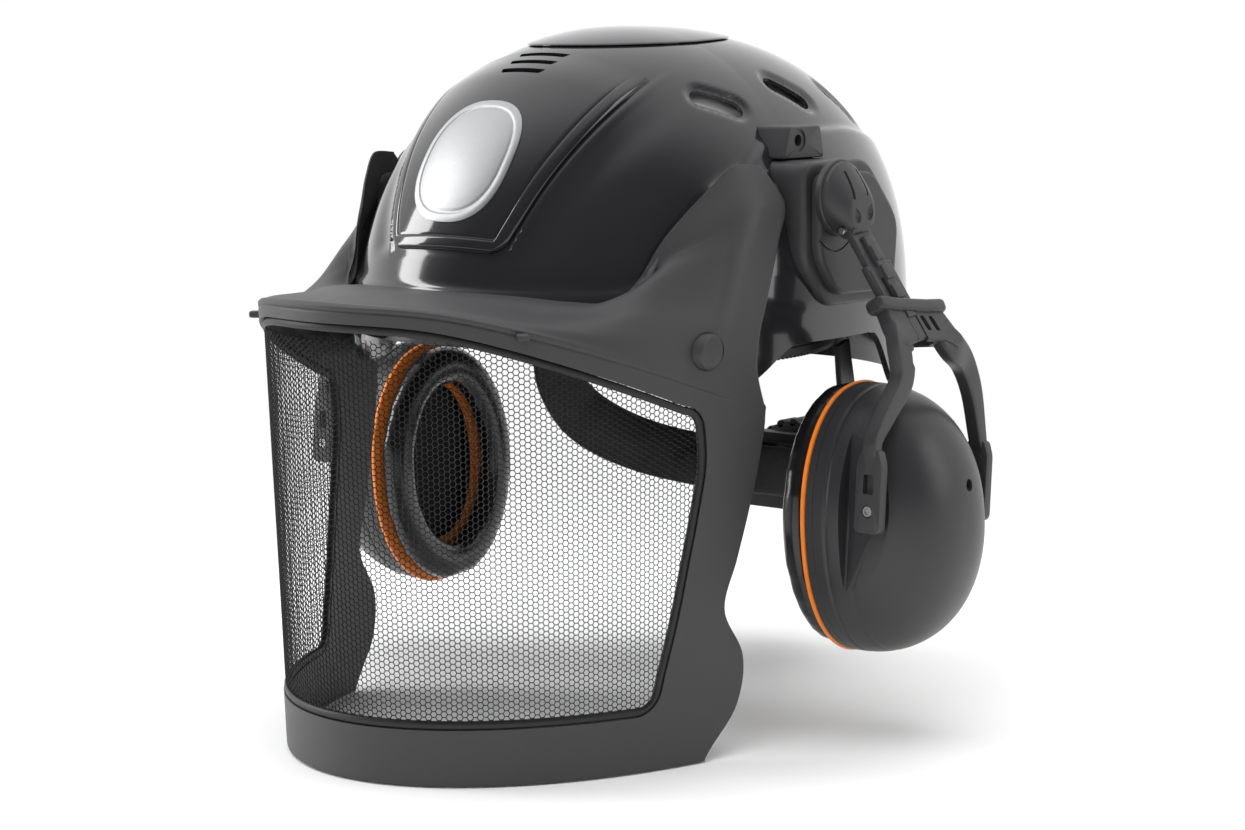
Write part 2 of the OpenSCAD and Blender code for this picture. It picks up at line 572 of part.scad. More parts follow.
// Stack of cup rings from the base outward; in_w, in_h and in_x shrink it for the hollow
function cup_rings(x0, depth, w, h) = [for (k = [0:8])
    let (s = sin(88 * k / 8), f = pow(max(0.0001, 1 - pow(s, 2.3)), 1 / 2.3)) cup_ring(x0 + depth * s, w * f, h * f)];
module cup_shell(side) {
    color("#2c2c2e") muff(side) difference() {
        ring_stack(cup_rings(ring_x + 6, cup_depth, cup_w, cup_h));
        ring_stack(concat([cup_ring(ring_x + 5, 31.5, cup_h - 4)], cup_rings(ring_x + 6, cup_depth - 3.5, 31.5, cup_h - 4)));
        fork_level() for (s = [-1, 1]) {
            translate([137, s > 0 ? 36.4 : -66.4, fork_z - 42]) cube([34, 30, 90]);
            translate([fork_x, s * 36, fork_z]) rotate([90, 0, 0])
                cylinder(h = 16, r = fork_pin_r + run, center = true, $fn = 48);
        }
    }
}
module cup_base(side) {
    color("#242426") muff(side) translate([ring_x + 2, 0, cup_z]) rotate([90, 0, 90]) linear_extrude(4) difference() {
        polygon(oval(cup_w, cup_h, 72, 2.15));
        polygon(oval(27, 39, 72, 2.15));
    }
}
module accent_ring(side) {
    color(orange) muff(side) translate([ring_x, 0, cup_z]) rotate([90, 0, 90]) linear_extrude(2) difference() {
        polygon(oval(cup_w + 0.6, cup_h + 0.6, 72, 2.15));
        polygon(oval(25, 37, 72, 2.15));
    }
}
module cushion(side) {
    color(soft) muff(side) ring_sweep([for (i = [0:47]) let (t = 360 * i / 48)
        [for (k = [0:9]) let (f = 36 * k + 18, w = 34 + 9 * cos(f), h = 47 + 10 * cos(f))
            [ring_x - cushion_t / 2 + (cushion_t / 2) * sin(f) / sin(90), w * cos(t), cup_z + h * sin(t)]]]);
}
module foam(side) {
    color("#1a1a1a") muff(side) translate([ring_x + 6.2, 0, cup_z]) rotate([90, 0, 90])
        linear_extrude(9) polygon(oval(27, 42, 60, 2.15));
}

shell();
front_panel();
badge();
crown_insert();
vent_liner(1);  // vent_liner_left
vent_liner(-1);  // vent_liner_right
socket(1);  // socket_left
socket(-1);  // socket_right
muff_mount(1);  // muff_mount_left
muff_mount(-1);  // muff_mount_right
visor_adapter(1);  // visor_adapter_left
visor_adapter(-1);  // visor_adapter_right
headband();
sweatband();
crown_strap(clip_turns[0], 0);  // crown_strap_front
crown_strap(clip_turns[1], 2);  // crown_strap_middle
crown_strap(clip_turns[2], 4);  // crown_strap_rear
crown_pad();
harness_clips();
nape_strap();
nape_pad();
knob_housing();
size_knob();
visor_frame();
visor_mesh();
visor_gasket();
visor_button(1);  // visor_button_left
visor_button(-1);  // visor_button_right
pivot_head(1);  // pivot_head_left
hinge_pin(1);  // hinge_pin_left
muff_arm(1);  // muff_arm_left
muff_fork(1);  // muff_fork_left
fork_pins(1);  // fork_pins_left
cup_shell(1);  // cup_shell_left
cup_base(1);  // cup_base_left
accent_ring(1);  // accent_ring_left
cushion(1);  // cushion_left
foam(1);  // foam_left
pivot_head(-1);  // pivot_head_right
hinge_pin(-1);  // hinge_pin_right
muff_arm(-1);  // muff_arm_right
muff_fork(-1);  // muff_fork_right
fork_pins(-1);  // fork_pins_right
cup_shell(-1);  // cup_shell_right
cup_base(-1);  // cup_base_right
accent_ring(-1);  // accent_ring_right
cushion(-1);  // cushion_right
foam(-1);  // foam_right
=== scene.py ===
import json
import math

import bmesh
import bpy
import numpy as np
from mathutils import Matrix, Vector

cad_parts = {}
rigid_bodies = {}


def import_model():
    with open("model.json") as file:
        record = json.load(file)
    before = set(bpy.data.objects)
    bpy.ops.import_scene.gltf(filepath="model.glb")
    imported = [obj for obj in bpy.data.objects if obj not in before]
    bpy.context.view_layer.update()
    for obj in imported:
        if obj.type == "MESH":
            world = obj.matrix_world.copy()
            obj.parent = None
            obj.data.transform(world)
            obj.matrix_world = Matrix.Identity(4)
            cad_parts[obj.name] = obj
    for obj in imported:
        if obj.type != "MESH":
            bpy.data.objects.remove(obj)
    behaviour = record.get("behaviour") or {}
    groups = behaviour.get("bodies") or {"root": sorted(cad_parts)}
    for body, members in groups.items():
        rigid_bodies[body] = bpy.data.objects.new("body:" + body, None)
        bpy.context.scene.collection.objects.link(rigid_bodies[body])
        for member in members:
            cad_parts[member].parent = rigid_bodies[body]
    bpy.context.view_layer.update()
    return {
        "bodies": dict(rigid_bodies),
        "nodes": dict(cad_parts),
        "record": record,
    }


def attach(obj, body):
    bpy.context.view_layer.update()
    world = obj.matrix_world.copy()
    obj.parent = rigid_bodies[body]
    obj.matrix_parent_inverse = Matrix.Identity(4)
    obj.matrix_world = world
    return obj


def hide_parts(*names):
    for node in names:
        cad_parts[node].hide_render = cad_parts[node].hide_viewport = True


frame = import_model()
nodes = frame["nodes"]
mm = 0.001

# camera, floor and light
cameraSettings = {"azimuth": 38.2, "elevation": 7.9, "distance": 1.1102, "lens": 80.3,
                  "target": (0.0746, -0.1004, -0.0241)}
studio = {"floorZ": -0.1675, "floorHalf": 6, "floorColor": 0.9, "floorRough": 0.7, "sweepStart": 0.22,
          "sweepEnd": 0.75, "worldBright": 1.0, "worldDark": 0.1, "fadeLow": -0.25, "fadeHigh": 0.55,
          "fadeLift": 0.35}
softBoxes = {
    "topSoftBox": {"location": (0.1, -0.2, 1.5), "aim": (0, -0.05, 0), "size": (1.6, 1.6), "power": 26,
                   "mirrored": False},
    "leftSoftBox": {"location": (-1.5, -0.9, 0.5), "aim": (0, -0.05, 0.02), "size": (0.5, 1.6), "power": 19,
                    "mirrored": True},
    "frontSoftBox": {"location": (0.5, -1.9, 0.9), "aim": (0.05, -0.1, 0), "size": (1.2, 0.8), "power": 14,
                     "mirrored": False},
    "rimSoftBox": {"location": (1.5, 0.7, 0.6), "aim": (0.05, 0, 0), "size": (0.6, 1.2), "power": 5.5,
                   "mirrored": True},
}


def addNode(tree, kind, **values):
    node = tree.nodes.new(kind)
    for key, value in values.items():
        if key in node.inputs:
            node.inputs[key].default_value = value
        else:
            setattr(node, key, value)
    return node


def placeCamera():
    s = cameraSettings
    az, el = math.radians(s["azimuth"]), math.radians(s["elevation"])
    target = Vector(s["target"])
    away = Vector((math.sin(az) * math.cos(el), -math.cos(az) * math.cos(el), math.sin(el)))
    data = bpy.data.cameras.new("studioCamera")
    data.lens = s["lens"]
    data.sensor_width = 36
    data.clip_start = 0.05
    camera = bpy.data.objects.new("studioCamera", data)
    bpy.context.scene.collection.objects.link(camera)
    camera.location = target + away * s["distance"]
    camera.rotation_euler = (-away).to_track_quat("-Z", "Y").to_euler()
    bpy.context.scene.camera = camera


def softBox(name, location, aim, size, power, mirrored):
    data = bpy.data.lights.new(name, "AREA")
    data.shape = "RECTANGLE"
    data.size, data.size_y = size
    data.energy = power
    lamp = bpy.data.objects.new(name, data)
    bpy.context.scene.collection.objects.link(lamp)
    lamp.location = location
    lamp.rotation_euler = (Vector(aim) - Vector(location)).to_track_quat("-Z", "Y").to_euler()
    lamp.visible_glossy = mirrored


def fadeNode(tree, low, high, start, end):
    fade = addNode(tree, "ShaderNodeMapRange", interpolation_type="SMOOTHSTEP")
    for label, value in (("From Min", low), ("From Max", high), ("To Min", start), ("To Max", end)):
        fade.inputs[label].default_value = value
    return fade


def buildFloor():
    z, half, c = studio["floorZ"], studio["floorHalf"], studio["floorColor"]
    mesh = bpy.data.meshes.new("studioFloor")
    mesh.from_pydata([(-half, -half, z), (half, -half, z), (half, half, z), (-half, half, z)], [],
                     [(0, 1, 2, 3)])
    floor = bpy.data.objects.new("studioFloor", mesh)
    bpy.context.scene.collection.objects.link(floor)
    paper = bpy.data.materials.new("studioPaper")
    paper.use_nodes = True
    tree = paper.node_tree
    link = tree.links.new
    shader = tree.nodes["Principled BSDF"]
    shader.inputs["Base Color"].default_value = (c, c, c, 1)
    shader.inputs["Roughness"].default_value = studio["floorRough"]
    # the sheet brightens away from the hat, as a lit sweep does
    where = addNode(tree, "ShaderNodeTexCoord")
    away = addNode(tree, "ShaderNodeVectorMath", operation="LENGTH")
    fade = fadeNode(tree, studio["sweepStart"], studio["sweepEnd"], 0.0, 1.0)
    glow = addNode(tree, "ShaderNodeEmission", Strength=1.0)
    blend = addNode(tree, "ShaderNodeMixShader")
    link(where.outputs["Object"], away.inputs[0])
    link(away.outputs["Value"], fade.inputs["Value"])
    link(fade.outputs["Result"], blend.inputs["Fac"])
    link(shader.outputs[0], blend.inputs[1])
    link(glow.outputs[0], blend.inputs[2])
    link(blend.outputs[0], tree.nodes["Material Output"].inputs["Surface"])
    mesh.materials.append(paper)


def buildWorld():
    # white surroundings ahead of the lens, a dim room behind it
    world = bpy.data.worlds.new("studioWorld")
    bpy.context.scene.world = world
    world.use_nodes = True
    tree = world.node_tree
    link = tree.links.new
    backdrop = tree.nodes["Background"]
    where = addNode(tree, "ShaderNodeTexCoord")
    dot = addNode(tree, "ShaderNodeVectorMath", operation="DOT_PRODUCT")
    az = math.radians(cameraSettings["azimuth"])
    dot.inputs[1].default_value = (-math.sin(az), math.cos(az), studio["fadeLift"])
    spread = fadeNode(tree, studio["fadeLow"], studio["fadeHigh"], studio["worldDark"],
                      studio["worldBright"])
    link(where.outputs["Generated"], dot.inputs[0])
    link(dot.outputs["Value"], spread.inputs["Value"])
    link(spread.outputs["Result"], backdrop.inputs["Strength"])
    backdrop.inputs["Color"].default_value = (1, 1, 1, 1)


placeCamera()
buildFloor()
buildWorld()
for boxName, boxValues in softBoxes.items():
    softBox(boxName, **boxValues)
bpy.context.scene.view_settings.view_transform = "Standard"
print("studio ready")


# finishes
def finishNodes(name):
    mat = bpy.data.materials.new(name)
    mat.use_nodes = True
    return mat, mat.node_tree, mat.node_tree.nodes["Principled BSDF"]


def mouldedPlastic(name, color, rough, grainScale, grainDepth, mottle, metal=0.0, coat=0.0, coatRough=0.05):
    mat, tree, shader = finishNodes(name)
    link = tree.links.new
    place = addNode(tree, "ShaderNodeTexCoord")
    cloud = addNode(tree, "ShaderNodeTexNoise", Scale=38.0, Detail=3.0)
    grain = addNode(tree, "ShaderNodeTexNoise", Scale=grainScale, Detail=2.0, Roughness=0.6)
    link(place.outputs["Object"], cloud.inputs["Vector"])
    link(place.outputs["Object"], grain.inputs["Vector"])
    tint = addNode(tree, "ShaderNodeMix", data_type="RGBA")
    for label, share in (("A", 1 - mottle), ("B", 1 + mottle)):
        tint.inputs[label].default_value = (*[c * share for c in color], 1)
    link(cloud.outputs["Fac"], tint.inputs["Factor"])
    link(tint.outputs["Result"], shader.inputs["Base Color"])
    sheen = addNode(tree, "ShaderNodeMapRange")
    for label, value in (("From Min", 0.3), ("From Max", 0.7), ("To Min", rough * 0.88),
                         ("To Max", rough * 1.12)):
        sheen.inputs[label].default_value = value
    link(grain.outputs["Fac"], sheen.inputs["Value"])
    link(sheen.outputs["Result"], shader.inputs["Roughness"])
    bump = addNode(tree, "ShaderNodeBump", Strength=grainDepth, Distance=0.0002)
    link(grain.outputs["Fac"], bump.inputs["Height"])
    link(bump.outputs["Normal"], shader.inputs["Normal"])
    for label, value in (("IOR", 1.5), ("Metallic", metal), ("Coat Weight", coat),
                         ("Coat Roughness", coatRough)):
        shader.inputs[label].default_value = value
    return mat


def wovenCloth(name, color, threadScale):
    mat, tree, shader = finishNodes(name)
    link = tree.links.new
    place = addNode(tree, "ShaderNodeTexCoord")
    cross = addNode(tree, "ShaderNodeMath", operation="MULTIPLY")
    for i, direction in enumerate("XZ"):
        wave = addNode(tree, "ShaderNodeTexWave", Scale=threadScale, Distortion=0.4,
                       bands_direction=direction)
        link(place.outputs["Object"], wave.inputs["Vector"])
        link(wave.outputs["Fac"], cross.inputs[i])
    tint = addNode(tree, "ShaderNodeMix", data_type="RGBA")
    for label, share in (("A", 0.6), ("B", 1.3)):
        tint.inputs[label].default_value = (*[c * share for c in color], 1)
    link(cross.outputs["Value"], tint.inputs["Factor"])
    link(tint.outputs["Result"], shader.inputs["Base Color"])
    bump = addNode(tree, "ShaderNodeBump", Strength=0.5, Distance=0.0004)
    link(cross.outputs["Value"], bump.inputs["Height"])
    link(bump.outputs["Normal"], shader.inputs["Normal"])
    shader.inputs["Roughness"].default_value = 0.85
    shader.inputs["Sheen Weight"].default_value = 0.25
    return mat


# each row: name, colour, roughness, grain scale, grain depth, mottle and what else differs
plastics = {
    "shell_gloss": ("shellGloss", (0.016, 0.016, 0.018), 0.14, 420.0, 0.05, 0.06,
                    {"coat": 0.5, "coatRough": 0.06}),
    "panel_gloss": ("panelGloss", (0.013, 0.013, 0.015), 0.1, 380.0, 0.03, 0.05,
                    {"coat": 0.6, "coatRough": 0.04}),
    "badge_metal": ("badgeSilver", (0.5, 0.505, 0.515), 0.46, 900.0, 0.06, 0.04, {"metal": 0.85}),
    "trim_matte": ("trimMatte", (0.034, 0.034, 0.036), 0.46, 2600.0, 0.25, 0.07, {}),
    "liner_grey": ("linerGrey", (0.5, 0.5, 0.5), 0.5, 1500.0, 0.2, 0.08, {}),
    "harness_plastic": ("harnessPlastic", (0.005, 0.005, 0.0055), 0.5, 1800.0, 0.2, 0.1, {}),
    "pad_foam": ("padFoam", (0.02, 0.02, 0.021), 0.75, 1300.0, 0.9, 0.15, {}),
    "visor_matte": ("visorMatte", (0.038, 0.038, 0.04), 0.5, 3000.0, 0.3, 0.06, {}),
    "mesh_steel": ("meshSteel", (0.012, 0.012, 0.012), 0.45, 2400.0, 0.1, 0.1, {"metal": 0.3}),
    "gasket_rubber": ("gasketRubber", (0.008, 0.008, 0.008), 0.5, 2200.0, 0.2, 0.08, {}),
    "arm_plastic": ("armPlastic", (0.034, 0.034, 0.036), 0.44, 2800.0, 0.25, 0.07, {}),
    "pin_steel": ("pinSteel", (0.42, 0.42, 0.43), 0.32, 1500.0, 0.1, 0.05, {"metal": 1.0}),
    "cup_plastic": ("cupPlastic", (0.024, 0.024, 0.026), 0.36, 2200.0, 0.22, 0.08, {}),
    "accent_orange": ("accentOrange", (0.86, 0.22, 0.015), 0.38, 2000.0, 0.1, 0.04, {}),
    "cushion_vinyl": ("cushionVinyl", (0.007, 0.007, 0.008), 0.24, 1100.0, 0.18, 0.08,
                      {"coat": 0.25, "coatRough": 0.15}),
    "cup_foam": ("cupFoam", (0.009, 0.009, 0.01), 0.9, 900.0, 1.0, 0.2, {}),
}
finishes = {slot: mouldedPlastic(*values, **extra) for slot, (*values, extra) in plastics.items()}
finishes["sweat_fabric"] = wovenCloth("sweatFabric", (0.02, 0.02, 0.022), 420.0)
finishes["webbing"] = wovenCloth("webbingWeave", (0.022, 0.022, 0.024), 300.0)
slotOf = {row["node"]: row["material_slot"] for row in frame["record"]["subparts"]}
for nodeName, nodeObject in nodes.items():
    nodeObject.data.materials.clear()
    nodeObject.data.materials.append(finishes[slotOf[nodeName]])
print("finishes ready")


# shaping helpers, all in millimetres
def ease(value):
    c = np.clip(value, 0, 1)
    return c * c * (3 - 2 * c)


def blendTo(a, b, t):
    return a + (b - a) * t


def unitRows(v):
    return v / np.maximum(1e-9, np.linalg.norm(v, axis=-1, keepdims=True))


def smoothCurve(points, t):
    pts = np.asarray(points, float)
    single = pts.ndim == 1
    pts = pts[:, None] if single else pts
    n = len(pts) - 1
    s = np.clip(np.asarray(t, float) * n, 0, n - 1e-6)
    i = np.floor(s).astype(int)
    f = (s - i)[..., None]
    a, b, c, d = (pts[np.clip(i + k, 0, n)] for k in (-1, 0, 1, 2))
    cubic = 3 * b - a - 3 * c + d
    out = 0.5 * (2 * b + (c - a) * f + (2 * a - 5 * b + 4 * c - d) * f * f + cubic * f ** 3)
    return out[..., 0] if single else out


def gridWall(outer, inner):
    # two matching grids joined along their borders
    rows, cols = outer.shape[:2]
    index = np.arange(rows * cols).reshape(rows, cols)
    a, b, c, d = index[:-1, :-1], index[:-1, 1:], index[1:, 1:], index[1:, :-1]
    off = rows * cols
    quads = [np.stack([d, c, b, a], -1).reshape(-1, 4), np.stack([b, c, d, a], -1).reshape(-1, 4) + off]
    for p, q in ((a[0], b[0]), (c[-1], d[-1]), (d[:, 0], a[:, 0]), (b[:, -1], c[:, -1])):
        quads.append(np.stack([p, q, q + off, p + off], -1))
    return np.concatenate([outer.reshape(-1, 3), inner.reshape(-1, 3)]), np.concatenate(quads).tolist()


def ringStack(rings):
    rings = np.asarray(rings, float)
    m, n = rings.shape[:2]
    verts = np.concatenate([rings.reshape(-1, 3), [rings[0].mean(0)], [rings[-1].mean(0)]])
    faces = []
    for j in range(m - 1):
        for i in range(n):
            k = (i + 1) % n
            faces.append([j * n + k, (j + 1) * n + k, (j + 1) * n + i, j * n + i])
    for i in range(n):
        k = (i + 1) % n
        faces += [[k, i, n * m], [(m - 1) * n + i, (m - 1) * n + k, n * m + 1]]
    return verts, faces


def ringSweep(sections):
    sections = np.asarray(sections, float)
    m, n = sections.shape[:2]
    faces = []
    for j in range(m):
        for i in range(n):
            k, q = (i + 1) % n, (j + 1) % m
            faces.append([j * n + k, q * n + k, q * n + i, j * n + i])
    return sections.reshape(-1, 3), faces


def ovalLoop(a, b, count=96, power=2.15):
    t = np.linspace(0, 2 * math.pi, count, endpoint=False)
    c, s = np.cos(t), np.sin(t)
    return np.stack([a * np.sign(c) * abs(c) ** (2 / power), b * np.sign(s) * abs(s) ** (2 / power)], -1)


def roundedLoop(points, radius, steps=6):
    pts = np.asarray(points, float)
    radius = np.broadcast_to(radius, len(pts))
    out = []
    for i, p in enumerate(pts):
        a, b = unitRows(pts[i - 1] - p), unitRows(pts[(i + 1) % len(pts)] - p)
        for f in np.linspace(0, 1, steps + 1):
            out.append(p + radius[i] * (a * (1 - f) ** 2 + b * f ** 2))
    return np.array(out)


def sweptBar(stations, count=20, power=4.0):
    # stations are (centre, half width vector, half height vector)
    t = np.linspace(0, 2 * math.pi, count, endpoint=False)
    c, s = np.cos(t), np.sin(t)
    u, v = np.sign(c) * abs(c) ** (2 / power), np.sign(s) * abs(s) ** (2 / power)
    rings = [[np.array(p) + np.array(w) * a + np.array(h) * b for a, b in zip(u, v)]
             for p, w, h in stations]
    return ringStack(rings)


def boxShape(low, high):
    (x0, y0, z0), (x1, y1, z1) = low, high
    verts = np.array([(x, y, z) for z in (z0, z1) for y in (y0, y1) for x in (x0, x1)], float)
    return verts, [[0, 2, 3, 1], [4, 5, 7, 6], [0, 1, 5, 4], [2, 6, 7, 3], [0, 4, 6, 2], [1, 3, 7, 5]]


def joinShapes(*shapes):
    verts, faces, start = [], [], 0
    for v, f in shapes:
        verts.append(np.asarray(v, float))
        faces += [[i + start for i in face] for face in f]
        start += len(v)
    return np.concatenate(verts), faces


def moved(shape, change):
    return change(np.asarray(shape[0], float)), shape[1]


def mirrored(shape):
    return np.asarray(shape[0], float) * (-1, 1, 1), [f[::-1] for f in shape[1]]


def meshFrom(name, shape, recalc=True):
    mesh = bpy.data.meshes.new(name)
    mesh.from_pydata((np.asarray(shape[0]) * mm).tolist(), [], [list(f) for f in shape[1]])
    if recalc:
        bm = bmesh.new()
        bm.from_mesh(mesh)
        bmesh.ops.remove_doubles(bm, verts=bm.verts, dist=2e-6)
        bmesh.ops.recalc_face_normals(bm, faces=bm.faces)
        bm.to_mesh(mesh)
        bm.free()
    mesh.update()
    return mesh


def shapeOf(obj):
    copy = bpy.data.meshes.new_from_object(obj.evaluated_get(bpy.context.evaluated_depsgraph_get()))
    verts = np.array([v.co for v in copy.vertices], float).reshape(-1, 3) / mm
    faces = [list(p.vertices) for p in copy.polygons]
    bpy.data.meshes.remove(copy)
    return verts, faces


def withModifiers(shape, *modifiers):
    obj = bpy.data.objects.new("workPiece", meshFrom("workPiece", shape))
    bpy.context.scene.collection.objects.link(obj)
    for kind, values in modifiers:
        mod = obj.modifiers.new(kind, kind)
        for key, value in values.items():
            setattr(mod, key, value)
    result = shapeOf(obj)
    bpy.data.objects.remove(obj)
    return result


def carved(shape, cutters, operation="DIFFERENCE"):
    tools = []
    for i, cutter in enumerate(cutters):
        tool = bpy.data.objects.new(f"cutTool{i}", meshFrom("cutTool", cutter))
        bpy.context.scene.collection.objects.link(tool)
        tools.append(tool)
    mods = [("BOOLEAN", {"operation": operation, "solver": "MANIFOLD", "object": tool}) for tool in tools]
    result = withModifiers(shape, *mods)
    for tool in tools:
        bpy.data.objects.remove(tool)
    return result


def rounding(width, segments=2, angle=40):
    return ("BEVEL", {"width": width * mm, "segments": segments, "limit_method": "ANGLE",
                      "angle_limit": math.radians(angle), "use_clamp_overlap": True})


def cadShape(name):
    # a merged copy of a CAD node, as a base for a finished piece
    source = nodes[name].data
    bm = bmesh.new()
    bm.from_mesh(source)
    bmesh.ops.remove_doubles(bm, verts=bm.verts, dist=2e-6)
    bmesh.ops.dissolve_limit(bm, angle_limit=math.radians(1), verts=bm.verts, edges=bm.edges)
    verts = np.array([v.co for v in bm.verts], float).reshape(-1, 3) / mm
    faces = [[v.index for v in f.verts] for f in bm.faces]
    bm.free()
    return verts, faces


def addPiece(name, shape, slotName, body, replaced=(), smooth=38):
    mesh = meshFrom(name, shape)
    mesh.materials.append(finishes[slotName])
    mesh.shade_smooth()
    if smooth < 180:
        mesh.set_sharp_from_angle(angle=math.radians(smooth))
    obj = bpy.data.objects.new(name, mesh)
    bpy.context.scene.collection.objects.link(obj)
    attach(obj, body)
    if replaced:
        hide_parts(*replaced)
    return obj


def addPair(name, shape, slotName, body, replaced=(), smooth=38):
    made = []
    for side, form in (("left", shape), ("right", mirrored(shape))):
        sided = f"{body}_{side}"
        where = sided if sided in frame["bodies"] else body
        made.append(addPiece(f"{name}_{side}", form, slotName, where, [f"{n}_{side}" for n in replaced],
                             smooth))
    return made


# shell
shell = {"halfWidth": 105.5, "front": 126, "rear": 146.5, "middleY": -4, "base": 2.6, "top": 129, "wall": 3,
         "bandStep": 2, "planFront": 2.07, "planRear": 2.16, "riseSide": 2.2, "riseFront": 2.06,
         "riseRear": 2.54, "columns": 400, "rings": 118}
# beside the forehead panel, as depth, distance from the panel's edge and width: a groove, a ridge, a valley
channels = [(-0.5, 0.2, 0.7), (1.1, 2.4, 1.6), (-1.3, 11.0, 6.5)]
vents = {"places": [[69, -29, 99], [69.5, 21, 102.5], [60, 66, 95]], "along": [0.45, 0.8, -0.35],
         "length": 25, "radius": 4.5, "dish": 1.5}
slots = {"rows": [-72, -65.5, -59], "halfLow": 10.2, "halfHigh": 11.8, "halfTall": 1.7}


def shellReach(d):
    s = shell
    a, c, h = abs(d[..., 0]), abs(d[..., 1]), np.maximum(0, d[..., 2])
    front = d[..., 1] < 0
    n = np.where(front, s["planFront"], s["planRear"])
    k = c / np.maximum(1e-6, np.hypot(a, c))
    m = s["riseSide"] + (np.where(front, s["riseFront"], s["riseRear"]) - s["riseSide"]) * k
    low, high = np.full(a.shape, 0.4), np.full(a.shape, 2.5)
    for _ in range(30):
        mid = (low + high) / 2
        total = ((a * mid) ** n + (c * mid) ** n) ** (m / n) + (h * mid) ** m
        low, high = np.where(total > 1, low, mid), np.where(total > 1, mid, high)
    return (low + high) / 2


def shellSpot(d, off):
    s = shell
    p = d * shellReach(d)[..., None]
    return np.stack([p[..., 0] * (s["halfWidth"] + off),
                     s["middleY"] + p[..., 1] * (np.where(p[..., 1] < 0, s["front"], s["rear"]) + off),
                     s["base"] + p[..., 2] * (s["top"] - s["base"] + off)], -1)


def stepLine(y):
    return 24 + 62 * ease((y + 104) / 100) - 14 * ease((y - 40) / 100)


def steppedSpot(d, off):
    p = shellSpot(d, off)
    return shellSpot(d, off + shell["bandStep"] * ease((stepLine(p[..., 1]) - p[..., 2]) / 4 + 0.5))


def rimHeight(y):
    high = ease((-78 - y) / 30)
    return 1.6 * high - 16 * ease((-22 - y) / 34) * (1 - high) - 27 * ease((y - 34) / 34)


def crownSpot(x, tilt, off):
    s = shell
    a = x / s["halfWidth"]
    co, si = np.cos(np.radians(tilt)), np.sin(np.radians(tilt))
    n = np.where(co > 0, s["planFront"], s["planRear"])
    low, high = np.zeros(np.shape(a + tilt)), np.full(np.shape(a + tilt), 1.2)
    for _ in range(30):
        mid = (low + high) / 2
        c, h = abs(co * mid), abs(si * mid)
        k = c / np.maximum(1e-6, np.hypot(a, c))
        m = s["riseSide"] + (np.where(co > 0, s["riseFront"], s["riseRear"]) - s["riseSide"]) * k
        total = (abs(a) ** n + c ** n) ** (m / n) + h ** m
        low, high = np.where(total > 1, low, mid), np.where(total > 1, mid, high)
    q = (low + high) / 2
    c = -co * q
    return np.stack([x * (1 + off / s["halfWidth"]) + 0 * c,
                     s["middleY"] + c * (np.where(c < 0, s["front"], s["rear"]) + off),
                     s["base"] + si * q * (s["top"] - s["base"] + off)], -1)


def panelHalf(t):
    return smoothCurve([30, 35, 39.5, 43.5, 46.5, 48.5, 49.5], np.clip(t, 0, 1))


def surfaceFrame(place, along):
    s = shell
    n = unitRows(np.array([place[0] / s["halfWidth"] ** 2, (place[1] - s["middleY"]) / 130 ** 2,
                           (place[2] - s["base"]) / 126 ** 2]))
    b = unitRows(np.cross(n, along))
    return np.cross(b, n), b, n


def ventDistance(p, vent):
    t, b, n = surfaceFrame(np.array(vent, float), vents["along"])
    rel = p - np.array(vent)
    along = np.maximum(0, abs(rel @ t) - (vents["length"] / 2 - vents["radius"]))
    gap = np.hypot(along, rel @ b) - vents["radius"]
    return np.where(rel @ n > -30, gap, 99)


def shellRelief(p):
    s = shell
    side = p.copy()
    side[..., 0] = abs(side[..., 0])
    relief = np.zeros(p.shape[:-1])
    for vent in vents["places"]:
        gap = ventDistance(side, vent)
        relief -= vents["dish"] * (1 - ease((gap - 0.5) / 3.4))
    tilt = np.degrees(np.arctan2((p[..., 2] - s["base"]) / (s["top"] - s["base"]),
                                 -(p[..., 1] - s["middleY"]) / s["front"]))
    edge = side[..., 0] - panelHalf((tilt - 17) / 49)
    reachUp = ease((tilt - 15) / 4) * (1 - ease((tilt - 44) / 34))
    channel = sum(depth * np.exp(-((edge - at) / width) ** 2) for depth, at, width in channels)
    relief += channel * reachUp
    foot = (17 - tilt) * 2.1
    across = 1 - ease((side[..., 0] - panelHalf(0.0) - 1) / 4)
    relief += -0.4 * np.exp(-((foot - 0.4) / 0.8) ** 2) * across * (tilt > 0)
    return relief


def oblongTool(place, along, length, radius, depth=26, steps=14):
    t, b, n = surfaceFrame(np.array(place, float), along)
    ring = []
    for sign in (1, -1):
        for f in np.linspace(-90, 90, steps):
            a = math.radians(f)
            c, q = math.cos(a), math.sin(a)
            ring.append(sign * (t * (length / 2 - radius + radius * c) + b * radius * q))
    return ringStack([[np.array(place) + q + n * h for q in ring] for h in (-depth / 2, depth / 2)])


def slotTools():
    tools = []
    for i, y in enumerate(slots["rows"]):
        z = 113 + (y + 65.5) * 0.6
        grow = i * 0.9
        t, b, n = surfaceFrame(np.array([0, y, z]), [1, 0, 0])
        low, high, tall = slots["halfLow"] + grow, slots["halfHigh"] + grow, slots["halfTall"]
        loop = roundedLoop([(-low, -tall), (low, -tall), (high, tall), (-high, tall)], 0.9, 4)
        up = b if b[2] > 0 else -b
        tools.append(ringStack([[np.array([0, y, z]) + t * q[0] + up * q[1] + n * h for q in loop]
                                for h in (-12, 12)]))
    return tools


